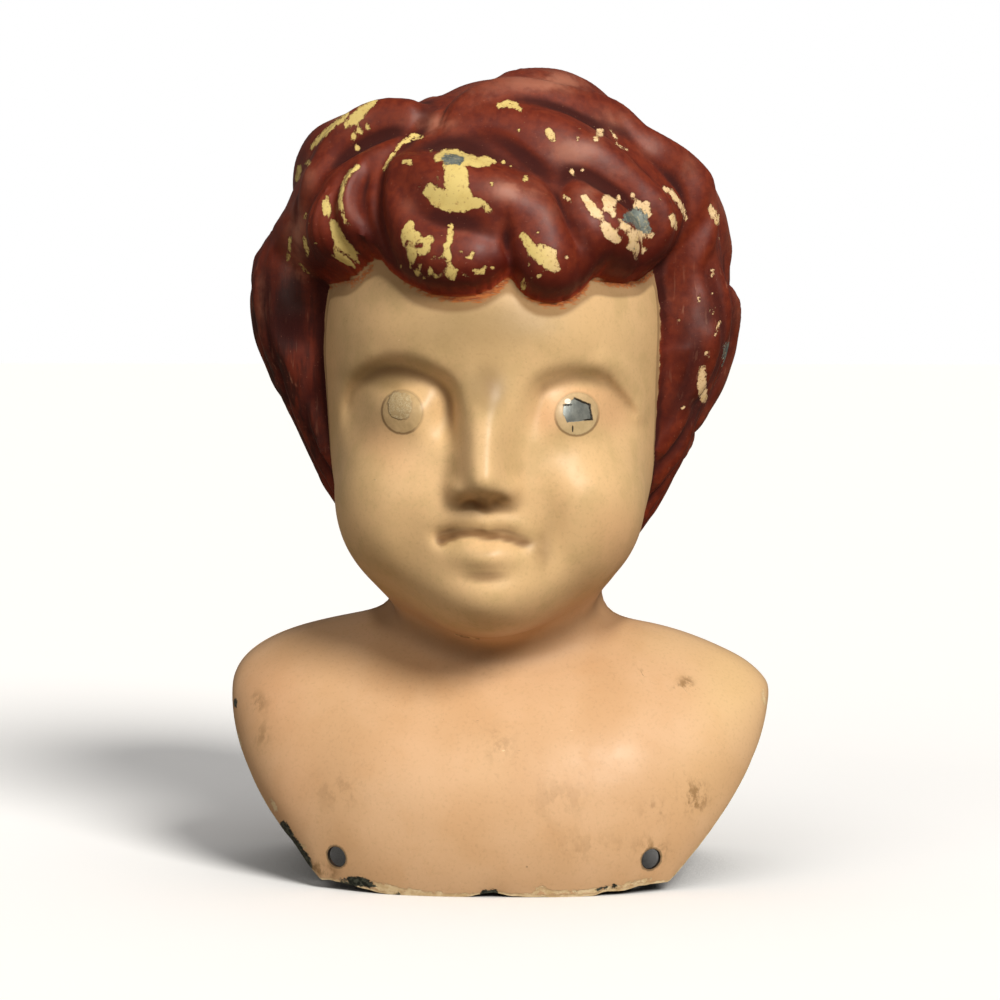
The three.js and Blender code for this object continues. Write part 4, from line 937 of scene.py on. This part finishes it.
# ------------------------------------------------------------------ materials
class Tree:
    def __init__(self, name):
        self.mat = bpy.data.materials.new(name)
        self.mat.use_nodes = True
        self.t = self.mat.node_tree
        self.t.nodes.clear()
        self.out = self.t.nodes.new("ShaderNodeOutputMaterial")
        self.bsdf = self.t.nodes.new("ShaderNodeBsdfPrincipled")
        self.t.links.new(self.bsdf.outputs[0], self.out.inputs[0])
        tc = self.t.nodes.new("ShaderNodeTexCoord")
        self.mm = self.vec("SCALE", tc.outputs["Object"], scale=1000.0)

    def put(self, socket, value):
        if hasattr(value, "links") or hasattr(value, "is_linked"):
            self.t.links.new(value, socket)
        elif isinstance(value, (tuple, list)) and len(value) == 3 and socket.type == "RGBA":
            socket.default_value = (*value, 1)
        else:
            socket.default_value = value

    def vec(self, op, a, b=None, scale=None):
        n = self.t.nodes.new("ShaderNodeVectorMath")
        n.operation = op
        self.put(n.inputs[0], a)
        if b is not None:
            self.put(n.inputs[1], b)
        if scale is not None:
            self.put(n.inputs["Scale"], scale)
        return n.outputs["Value"] if op in ("LENGTH", "DISTANCE", "DOT_PRODUCT") else n.outputs["Vector"]

    def math(self, op, a, b=0.0, clamp=False):
        n = self.t.nodes.new("ShaderNodeMath")
        n.operation, n.use_clamp = op, clamp
        self.put(n.inputs[0], a)
        self.put(n.inputs[1], b)
        return n.outputs[0]

    def attr(self, name):
        n = self.t.nodes.new("ShaderNodeAttribute")
        n.attribute_name = name
        return n.outputs["Fac"]

    def axis(self, k):
        n = self.t.nodes.new("ShaderNodeSeparateXYZ")
        self.put(n.inputs[0], self.mm)
        return n.outputs[k]

    def spot(self, x, z, rx=1.0, rz=1.0):
        """Distance from a point of the front, seen along Y, in half widths."""
        v = self.vec("SUBTRACT", self.mm, (x, 0.0, z))
        return self.vec("LENGTH", self.vec("MULTIPLY", v, (1 / rx, 0.0, 1 / rz)))

    def side(self, p, q):
        """Signed distance in mm from the line through p and q in the X-Z plane, positive on its left."""
        d = np.array([q[0] - p[0], q[1] - p[1]], float)
        d /= np.hypot(*d)
        v = self.vec("SUBTRACT", self.mm, (float(p[0]), 0.0, float(p[1])))
        return self.vec("DOT_PRODUCT", v, (float(-d[1]), 0.0, float(d[0])))

    def noise(self, size, detail=3.0, rough=0.55, offset=0.0, stretch=None, distortion=0.0):
        v = self.mm
        if stretch:
            v = self.vec("MULTIPLY", v, stretch)
        if offset:
            v = self.vec("ADD", v, (offset, offset * 0.7, -offset * 1.3))
        n = self.t.nodes.new("ShaderNodeTexNoise")
        self.put(n.inputs["Vector"], v)
        n.inputs["Scale"].default_value = 1.0 / size
        n.inputs["Detail"].default_value = detail
        n.inputs["Roughness"].default_value = rough
        n.inputs["Distortion"].default_value = distortion
        return n.outputs["Fac"]

    def rng(self, v, a, b, c=0.0, d=1.0, smooth=True):
        n = self.t.nodes.new("ShaderNodeMapRange")
        n.interpolation_type = "SMOOTHSTEP" if smooth else "LINEAR"
        n.clamp = True
        self.put(n.inputs["Value"], v)
        for s, x in zip(("From Min", "From Max", "To Min", "To Max"), (a, b, c, d)):
            self.put(n.inputs[s], x)
        return n.outputs["Result"]

    def mix(self, f, a, b, mode="MIX"):
        n = self.t.nodes.new("ShaderNodeMix")
        n.data_type, n.blend_type = "RGBA", mode
        self.put(n.inputs["Factor"], f)
        sockets = [s for s in n.inputs if s.type == "RGBA"]
        self.put(sockets[0], a)
        self.put(sockets[1], b)
        return [s for s in n.outputs if s.type == "RGBA"][0]

    def lerp(self, f, a, b):
        n = self.t.nodes.new("ShaderNodeMix")
        n.data_type = "FLOAT"
        sockets = [s for s in n.inputs if s.type == "VALUE"]
        self.put(sockets[0], f)
        self.put(sockets[1], a)
        self.put(sockets[2], b)
        return [s for s in n.outputs if s.type == "VALUE"][0]


def srgb(r, g, b):
    f = lambda c: (c / 255 / 12.92) if c / 255 <= 0.04045 else ((c / 255 + 0.055) / 1.055) ** 2.4
    return (f(r), f(g), f(b))


FACE_A, FACE_B = (214, 178, 128), (222, 184, 134)
CHEST_A, CHEST_B = (212, 172, 131), (205, 163, 120)
# the last colour is the painted sheen on the crests of the hair
HAIR_BASE, HAIR_BASE_2, HAIR_SHEEN = (94, 27, 10), (118, 42, 17), (182, 120, 96)

# worn eye: the bare patch left of the iris paint on the -Y side, corners in the X-Z plane
PATCH = [(11.45, 79.9), (13.2, 81.1), (15.6, 80.0), (16.0, 77.6), (12.1, 77.3), (11.45, 78.6)]


def painted_tin(name, back):
    T = Tree(name)
    a = T.attr
    times = lambda p, q: T.math("MULTIPLY", p, q)
    hair, chip, metal, thin = a("hair"), a("chip"), a("metal"), a("thin")
    cave, crest, chest, cut = a("cave"), a("crest"), a("chest"), a("cut")
    fine = T.noise(0.55, 2, 0.6, 11)
    mid = T.noise(1.6, 3, 0.6, 3)
    broad = T.noise(14, 3, 0.5, 7)
    cloud = T.noise(6, 4, 0.6, 23)
    speck = T.noise(0.35, 1, 0.5, 91)
    ragged = T.math("ADD", times(T.math("SUBTRACT", T.noise(1.0, 5, 0.8, 31), 0.5), 3.2), times(T.math("SUBTRACT", fine, 0.5), 0.5))

    # skin: greyish beige on the face, peach on the chest, both mottled and rubbed, with painted shade in the hollows,
    # the brows, under the nose and along the mouth
    face = T.mix(T.rng(broad, 0.35, 0.65), srgb(*FACE_A), srgb(*FACE_B))
    face = T.mix(times(T.rng(cloud, 0.45, 0.7), 0.4), face, srgb(188, 160, 108))
    chestc = T.mix(T.rng(broad, 0.35, 0.65), srgb(*CHEST_A), srgb(*CHEST_B))
    chestc = T.mix(times(T.rng(cloud, 0.5, 0.72), 0.3), chestc, srgb(204, 158, 112))
    skinc = T.mix(chest, face, chestc)
    tone_and_painted_light = a("tone_and_painted_light")
    # pink flush of the paint; where the blots are negative, painted shade on the face (a darker olive) and yellower
    # paint on the chest
    skinc = T.mix(T.rng(tone_and_painted_light, 0.05, 0.9, 0.0, 0.5), skinc, srgb(222, 164, 122))
    skinc = T.mix(T.rng(tone_and_painted_light, -0.05, -0.9, 0.0, 0.75), skinc, T.mix(chest, srgb(158, 130, 86), srgb(222, 188, 136)))
    # dark blots: painted shade and painted shadow on the face, stains and smudges on the chest; the strongest, along
    # the mouth and under the nose, go near black-brown
    smudge_and_shade = T.lerp(chest, T.math("ADD", cloud, 0.5), T.rng(T.noise(2.6, 5, 0.7, 97, (1.0, 1.0, 0.6)), 0.4, 0.6, 0.15, 1.9))
    skinc = T.mix(T.rng(times(a("stain_and_shade"), smudge_and_shade), 0.03, 0.8, 0.0, 0.8), skinc, srgb(140, 106, 66))
    skinc = T.mix(T.rng(a("stain_and_shade"), 0.7, 1.7, 0.0, 0.75), skinc, srgb(84, 52, 28))
    skinc = T.mix(times(T.rng(fine, 0.5, 0.75), 0.16), skinc, srgb(150, 116, 74))
    skinc = T.mix(times(T.rng(speck, 0.74, 0.84), T.rng(cloud, 0.5, 0.6, 0.0, 0.5)), skinc, srgb(120, 86, 54))
    skinc = T.mix(times(T.rng(T.noise(0.3, 1, 0.5, 77), 0.76, 0.84), 0.35), skinc, srgb(240, 216, 178))
    # painted shade: the hollows of the relief are painted a darker brown
    skinc = T.mix(T.rng(cave, 0.04, 0.55, 0.0, 0.6), skinc, srgb(112, 76, 44))
    skinc = T.mix(T.rng(T.math("ADD", a("scuff"), times(ragged, 0.1)), -0.05, 0.06, 0.0, 0.75), skinc, T.mix(T.rng(mid, 0.4, 0.6), srgb(120, 84, 52), srgb(236, 206, 160)))
    skinc = T.mix(T.rng(a("seam"), 0.5, 0.1, 0.0, 0.35), skinc, srgb(126, 92, 58))

    # hair: red-brown, with painted shade in the hollows and creases and a painted pale, greyer sheen on the crests
    hairc = T.mix(T.rng(mid, 0.3, 0.7), srgb(*HAIR_BASE), srgb(*HAIR_BASE_2))
    # painted highlight: a pale, greyer sheen on the crests
    painted_sheen = times(T.rng(T.noise(5, 4, 0.6, 27), 0.34, 0.62, 0.35, 1.0), a("painted_sheen"))
    hairc = T.mix(T.rng(painted_sheen, 0.0, 1.0, 0.0, 0.72), hairc, srgb(*HAIR_SHEEN))
    hairc = T.mix(times(T.rng(broad, 0.5, 0.68), 0.4), hairc, srgb(120, 42, 20))
    # beside the face: long upright streaks of painted shade for the hollows between the strands, stronger towards -X,
    # and pale streaks of painted highlight on the strands
    strand = T.noise(2.6, 3, 0.6, 45, (1.3, 1.3, 0.2))
    beside = times(times(T.rng(T.math("ABSOLUTE", T.axis(0)), 26.0, 32.0), T.rng(T.axis(2), 108.0, 94.0)), T.rng(T.axis(1), 17.0, 5.0))
    hairc = T.mix(times(T.rng(strand, 0.4, 0.6, 0.12, 0.85), times(beside, T.rng(T.axis(0), -30.0, 30.0, 1.0, 0.35))), hairc, srgb(40, 9, 4))
    hairc = T.mix(times(T.rng(T.noise(1.5, 3, 0.6, 47, (1.6, 1.6, 0.16)), 0.6, 0.7), times(beside, 0.4)), hairc, srgb(176, 118, 92))
    # painted shade: the hollows and creases of the hair are painted near black
    hairc = T.mix(T.rng(cave, 0.04, 0.6, 0.0, 0.9), hairc, srgb(50, 7, 2))
    hairc = T.mix(T.rng(cut, 0.12, 1.1, 0.0, 0.75), hairc, srgb(54, 8, 3))
    fringe = a("fringe")
    # painted shade on the lowest part of the fringe locks; below it the thin orange-brown paint at the edge
    hairc = T.mix(times(T.rng(hair, 4.6, 0.8), times(fringe, 0.85)), hairc, srgb(74, 12, 4))
    hairc = T.mix(times(T.rng(T.math("ADD", hair, times(T.math("SUBTRACT", mid, 0.5), 1.2)), 1.3, 0.2), times(fringe, 0.75)), hairc, srgb(142, 46, 16))
    hairc = T.mix(times(T.rng(speck, 0.72, 0.8), 0.35), hairc, srgb(166, 110, 88))

    edge = T.math("ADD", hair, times(T.math("SUBTRACT", mid, 0.5), 0.25))
    is_hair = T.rng(edge, -0.08, 0.08)
    streaks = T.noise(0.8, 3, 0.6, 15, (0.45, 1.0, 2.6))
    thinm = times(T.rng(T.math("ADD", thin, times(T.math("SUBTRACT", streaks, 0.5), 1.5)), -0.1, 0.35), 0.85)
    col = T.mix(thinm, skinc, T.mix(T.rng(streaks, 0.4, 0.6), srgb(128, 52, 18), srgb(176, 98, 44)))
    col = T.mix(is_hair, col, hairc)
    col = T.mix(times(T.rng(T.math("ABSOLUTE", T.math("SUBTRACT", edge, 0.1)), 0.3, 0.0), times(fringe, T.rng(streaks, 0.35, 0.6, 0.2, 0.9))), col, srgb(150, 62, 20))

    # worn places: undercoat, then bare tin
    chip_d = T.math("ADD", T.math("ADD", chip, 0.07), times(ragged, T.rng(chip, -0.3, 0.45, 0.3, 0.85)))
    flecks = times(T.rng(T.noise(0.75, 3, 0.65, 83), 0.735, 0.755), T.rng(T.math("ADD", chip, T.math("MULTIPLY", T.math("SUBTRACT", cloud, 0.5), 10)), -3.2, -1.0))
    is_chip = times(T.math("MAXIMUM", T.rng(chip_d, -0.05, 0.05), times(flecks, 0.9)), is_hair)
    under_c = T.mix(T.rng(T.axis(0), 6.0, 14.0), srgb(218, 194, 118), srgb(232, 200, 152))
    under_c = T.mix(times(T.rng(mid, 0.45, 0.75), 0.5), under_c, srgb(206, 176, 98))
    under_c = T.mix(times(T.rng(fine, 0.58, 0.7), 0.5), under_c, srgb(160, 110, 60))
    under_c = T.mix(T.rng(chip_d, 0.02, 0.22, 0.6, 0.0), under_c, srgb(140, 84, 46))
    col = T.mix(is_chip, col, under_c)
    metal_d = T.math("ADD", metal, times(ragged, 0.8))
    is_metal = T.rng(metal_d, -0.06, 0.06)
    tin = T.mix(T.rng(mid, 0.35, 0.65), srgb(104, 116, 112), srgb(142, 148, 140))
    tin = T.mix(times(T.rng(fine, 0.55, 0.66), 0.7), tin, srgb(196, 186, 150))
    col = T.mix(is_metal, col, tin)

    # lower edge: rubbed to the pale undercoat, and dark bare metal where it is chipped
    rim = T.math("ADD", a("rim"), times(ragged, 0.5))
    pale = T.math("MAXIMUM", T.rng(T.math("ADD", a("pale"), times(ragged, 0.6)), -0.1, 0.1), T.rng(rim, 0.42, 0.3))
    col = T.mix(times(pale, 0.85), col, T.mix(T.rng(mid, 0.35, 0.65), srgb(236, 214, 170), srgb(208, 178, 130)))
    dark = T.rng(T.math("ADD", a("dark"), times(ragged, 0.55)), -0.05, 0.08)
    col = T.mix(dark, col, T.mix(T.rng(fine, 0.4, 0.62), srgb(44, 48, 42), srgb(92, 96, 84)))
    hole = T.math("ADD", a("hole"), times(ragged, 0.25))
    col = T.mix(T.rng(hole, 2.15, 1.95, 0.0, 0.75), col, srgb(112, 92, 66))
    # the bore of each sew hole: bare metal, painted near black as shade
    col = T.mix(T.rng(a("hole"), 1.78, 1.72), col, srgb(40, 36, 30))

    # worn eyes
    eye_metal, eye_low = 0.0, 0.0
    if not back:
        wob = times(T.math("SUBTRACT", fine, 0.5), 0.22)
        for x, z, ring_c in ((-14.3, 78.9, (188, 162, 118)), (13.6, 78.6, (190, 170, 130))):
            d = T.math("ADD", T.spot(x, z), wob)
            disc = T.rng(d, DISC + 0.05, DISC - 0.12)
            tone = T.mix(T.rng(mid, 0.35, 0.65), srgb(*ring_c), srgb(ring_c[0] - 22, ring_c[1] - 20, ring_c[2] - 18))
            col = T.mix(times(disc, 0.6), col, tone)
            line = T.rng(T.math("ABSOLUTE", T.math("SUBTRACT", d, DISC)), 0.3, 0.06)
            low = T.rng(T.side((x - 1, z + 1), (x + 1, z - 1)), 0.5, -1.5, 0.25, 0.75) if x < 0 else T.rng(T.side((x - 1, z), (x + 1, z)), 1.0, -2.0, 0.2, 0.7)
            col = T.mix(times(line, low), col, srgb(112, 84, 52))
        # left: a worn iris with fine crossing scratches
        d = T.math("ADD", T.spot(-14.7, 79.9, 2.1, 2.25), times(T.math("SUBTRACT", mid, 0.5), 0.7))
        iris = T.rng(d, 1.03, 0.95)
        webs = T.rng(T.math("ABSOLUTE", T.math("SUBTRACT", T.noise(1.1, 3, 0.7, 57, distortion=1.5), 0.5)), 0.045, 0.0)
        col = T.mix(times(iris, 0.55), col, srgb(172, 150, 110))
        col = T.mix(times(times(iris, webs), 0.75), col, srgb(204, 188, 152))
        col = T.mix(times(T.rng(T.math("ABSOLUTE", T.math("SUBTRACT", d, 1.0)), 0.09, 0.01), T.rng(cloud, 0.4, 0.6, 0.1, 0.5)), col, srgb(118, 96, 66))
        # right: a six-sided patch of bare metal, cracked round its upper right side, a white chip at its corner
        inside_ = None
        for p, q in zip(PATCH, PATCH[1:] + PATCH[:1]):
            e = T.side(q, p)
            inside_ = e if inside_ is None else T.math("MINIMUM", inside_, e)
        inside_ = T.math("ADD", inside_, times(T.math("SUBTRACT", fine, 0.5), 0.25))
        patch = T.rng(inside_, -0.04, 0.05)
        col = T.mix(patch, col, T.mix(T.rng(mid, 0.3, 0.7), srgb(118, 122, 118), srgb(146, 148, 140)))
        right_side = times(T.rng(T.side((12.9, 82.0), (15.2, 76.9)), -0.3, 0.0), T.rng(T.axis(2), 77.35, 77.6))
        crack = times(T.rng(T.math("ABSOLUTE", inside_), 0.22, 0.1), right_side)
        notch = T.rng(T.spot(12.1, 80.08, 0.75, 0.14), 1.1, 0.8)
        low_crack = T.rng(T.spot(12.95, 76.25, 0.13, 0.55), 1.1, 0.8)
        marks = T.math("MAXIMUM", T.math("MAXIMUM", crack, notch), low_crack)
        col = T.mix(times(marks, 0.92), col, srgb(26, 22, 18))
        white = T.rng(T.math("ADD", T.spot(12.15, 80.65, 0.5, 0.4), wob), 1.15, 0.9)
        col = T.mix(times(white, 0.9), col, srgb(238, 232, 214))
        eye_metal = times(patch, 0.5)
        eye_low = patch

    # inside of the sheet
    inside = T.rng(a("inside"), 0.4, 0.6)
    raw = T.mix(T.rng(T.noise(5, 4, 0.65, 51), 0.35, 0.65), srgb(60, 56, 50), srgb(84, 56, 38))
    col = T.mix(inside, col, raw)

    T.put(T.bsdf.inputs["Base Color"], col)
    rough = T.lerp(is_hair, T.lerp(chest, 0.45, 0.44), 0.52)
    rough = T.math("ADD", rough, times(T.math("SUBTRACT", cloud, 0.5), 0.25))
    rough = T.math("ADD", rough, times(T.math("SUBTRACT", mid, 0.5), 0.12))
    rough = T.lerp(is_chip, rough, 0.62)
    rough = T.lerp(T.rng(T.math("ADD", cave, cut), 0.05, 0.7), rough, 0.95)
    rough = T.lerp(inside, rough, 0.6)
    T.put(T.bsdf.inputs["Roughness"], rough)
    shiny = T.math("MAXIMUM", T.math("MAXIMUM", times(is_metal, 0.6), times(inside, 0.35)), times(dark, 0.4))
    if not back:
        shiny = T.math("MAXIMUM", shiny, eye_metal)
    T.put(T.bsdf.inputs["Metallic"], shiny)
    T.bsdf.inputs["IOR"].default_value = 1.5
    T.bsdf.inputs["Specular IOR Level"].default_value = 0.34
    height = T.math("ADD", times(is_chip, -0.09), times(is_metal, -0.05))
    height = T.math("ADD", height, times(T.noise(0.8, 3, 0.6, 61), 0.025))
    height = T.math("ADD", height, times(T.noise(3.2, 2, 0.5, 65), 0.05))
    height = T.math("ADD", height, times(is_hair, 0.03))
    height = T.math("ADD", height, times(T.math("MAXIMUM", dark, times(pale, 0.5)), -0.08))
    if not back:
        height = T.math("ADD", height, times(eye_low, -0.1))
        height = T.math("ADD", height, times(marks, -0.12))
        height = T.math("ADD", height, times(times(iris, T.noise(0.5, 3, 0.7, 59)), 0.12))
    b = T.t.nodes.new("ShaderNodeBump")
    b.inputs["Strength"].default_value = 1.0
    b.inputs["Distance"].default_value = 0.001
    T.put(b.inputs["Height"], height)
    T.put(T.bsdf.inputs["Normal"], b.outputs[0])
    return T.mat


front.data.materials.append(painted_tin("flesh_paint", False))
back.data.materials.append(painted_tin("hair_paint", True))
for ob, node, slot in ((front, "front_shell", "flesh_paint"), (back, "back_shell", "hair_paint")):
    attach(ob, "root")
    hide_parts(node)

# ------------------------------------------------------------------ floor, light, camera
bpy.ops.mesh.primitive_plane_add(size=6, location=(0, 0, 0))
floor = bpy.context.object
floor.name = "floor"
fm = bpy.data.materials.new("floor_paper")
fm.use_nodes = True
ft = fm.node_tree
fb = ft.nodes["Principled BSDF"]
# painted shadow: the floor's colour goes dark where the object closes it in, under and round it
f_ao = ft.nodes.new("ShaderNodeAmbientOcclusion")
f_ao.samples = 8
f_ao.inputs["Distance"].default_value = 0.09
f_rng = ft.nodes.new("ShaderNodeMapRange")
f_rng.inputs["From Min"].default_value, f_rng.inputs["From Max"].default_value = 0.12, 0.42
f_painted_shadow = ft.nodes.new("ShaderNodeMix")
f_painted_shadow.data_type = "RGBA"
f_painted_shadow.inputs[6].default_value, f_painted_shadow.inputs[7].default_value = (0.035, 0.025, 0.018, 1), (0.93, 0.925, 0.92, 1)
ft.links.new(f_ao.outputs["AO"], f_rng.inputs["Value"])
ft.links.new(f_rng.outputs[0], f_painted_shadow.inputs[0])
ft.links.new(f_painted_shadow.outputs[2], fb.inputs["Base Color"])
fb.inputs["Roughness"].default_value = 0.9
fb.inputs["Specular IOR Level"].default_value = 0.0
f_glow = ft.nodes.new("ShaderNodeMapRange")            # the open floor glows: an emission lifts it to the white of the paper behind
f_glow.inputs["From Min"].default_value, f_glow.inputs["From Max"].default_value, f_glow.inputs["To Max"].default_value = 0.55, 0.95, 0.22
ft.links.new(f_ao.outputs["AO"], f_glow.inputs["Value"])
ft.links.new(f_glow.outputs[0], fb.inputs["Emission Strength"])
fb.inputs["Emission Color"].default_value = (0.93, 0.925, 0.92, 1)
f_dim = ft.nodes.new("ShaderNodeBsdfDiffuse")          # little light comes back up from it
f_dim.inputs[0].default_value = (0.16, 0.13, 0.10, 1)
f_path, f_mix = ft.nodes.new("ShaderNodeLightPath"), ft.nodes.new("ShaderNodeMixShader")
ft.links.new(f_path.outputs["Is Camera Ray"], f_mix.inputs[0])
ft.links.new(f_dim.outputs[0], f_mix.inputs[1])
ft.links.new(fb.outputs[0], f_mix.inputs[2])
ft.links.new(f_mix.outputs[0], ft.nodes["Material Output"].inputs[0])
floor.data.materials.append(fm)

world = bpy.data.worlds.new("studio")
bpy.context.scene.world = world
world.use_nodes = True
wt = world.node_tree
wt.nodes.clear()
w_out = wt.nodes.new("ShaderNodeOutputWorld")
w_mix = wt.nodes.new("ShaderNodeMixShader")
w_path = wt.nodes.new("ShaderNodeLightPath")
w_soft, w_back = wt.nodes.new("ShaderNodeBackground"), wt.nodes.new("ShaderNodeBackground")
w_soft.inputs[0].default_value, w_soft.inputs[1].default_value = (1.0, 0.97, 0.93, 1), 0.14
w_back.inputs[0].default_value, w_back.inputs[1].default_value = (1, 1, 1, 1), 1.0
wt.links.new(w_path.outputs["Is Camera Ray"], w_mix.inputs[0])
wt.links.new(w_soft.outputs[0], w_mix.inputs[1])
wt.links.new(w_back.outputs[0], w_mix.inputs[2])
wt.links.new(w_mix.outputs[0], w_out.inputs[0])


def sun(name, az, el, wide, strength, colour):
    l = bpy.data.lights.new(name, "SUN")
    l.angle, l.energy, l.color = rad(wide), strength, colour
    o = bpy.data.objects.new(name, l)
    d = Vector((np.sin(rad(az)) * np.cos(rad(el)), -np.cos(rad(az)) * np.cos(rad(el)), np.sin(rad(el))))
    o.rotation_euler = d.to_track_quat("Z", "Y").to_euler()
    o.location = d * 2
    bpy.context.scene.collection.objects.link(o)
    return o


sun("key", 32, 35, 22, 3.65, (1.0, 0.97, 0.92))
sun("fill", -34, 24, 50, 0.75, (1.0, 0.95, 0.88))

right, up, toward = camera_axes()
cam = bpy.data.cameras.new("camera")
cam.sensor_width = 36.0
cam.lens = 36.0 * FOCAL_PX / 1000.0
cam.clip_start, cam.clip_end = 0.01, 50
camera = bpy.data.objects.new("camera", cam)
target = (CAM_TARGET - np.array([0, MIDDLE_Y, 0])) * MM
eye = target + toward * CAM_DIST * MM
camera.location = Vector(eye)
camera.rotation_euler = (Vector(target) - Vector(eye)).to_track_quat("-Z", "Y").to_euler()
bpy.context.scene.collection.objects.link(camera)
bpy.context.scene.camera = camera
bpy.context.scene.view_settings.view_transform = "Standard"
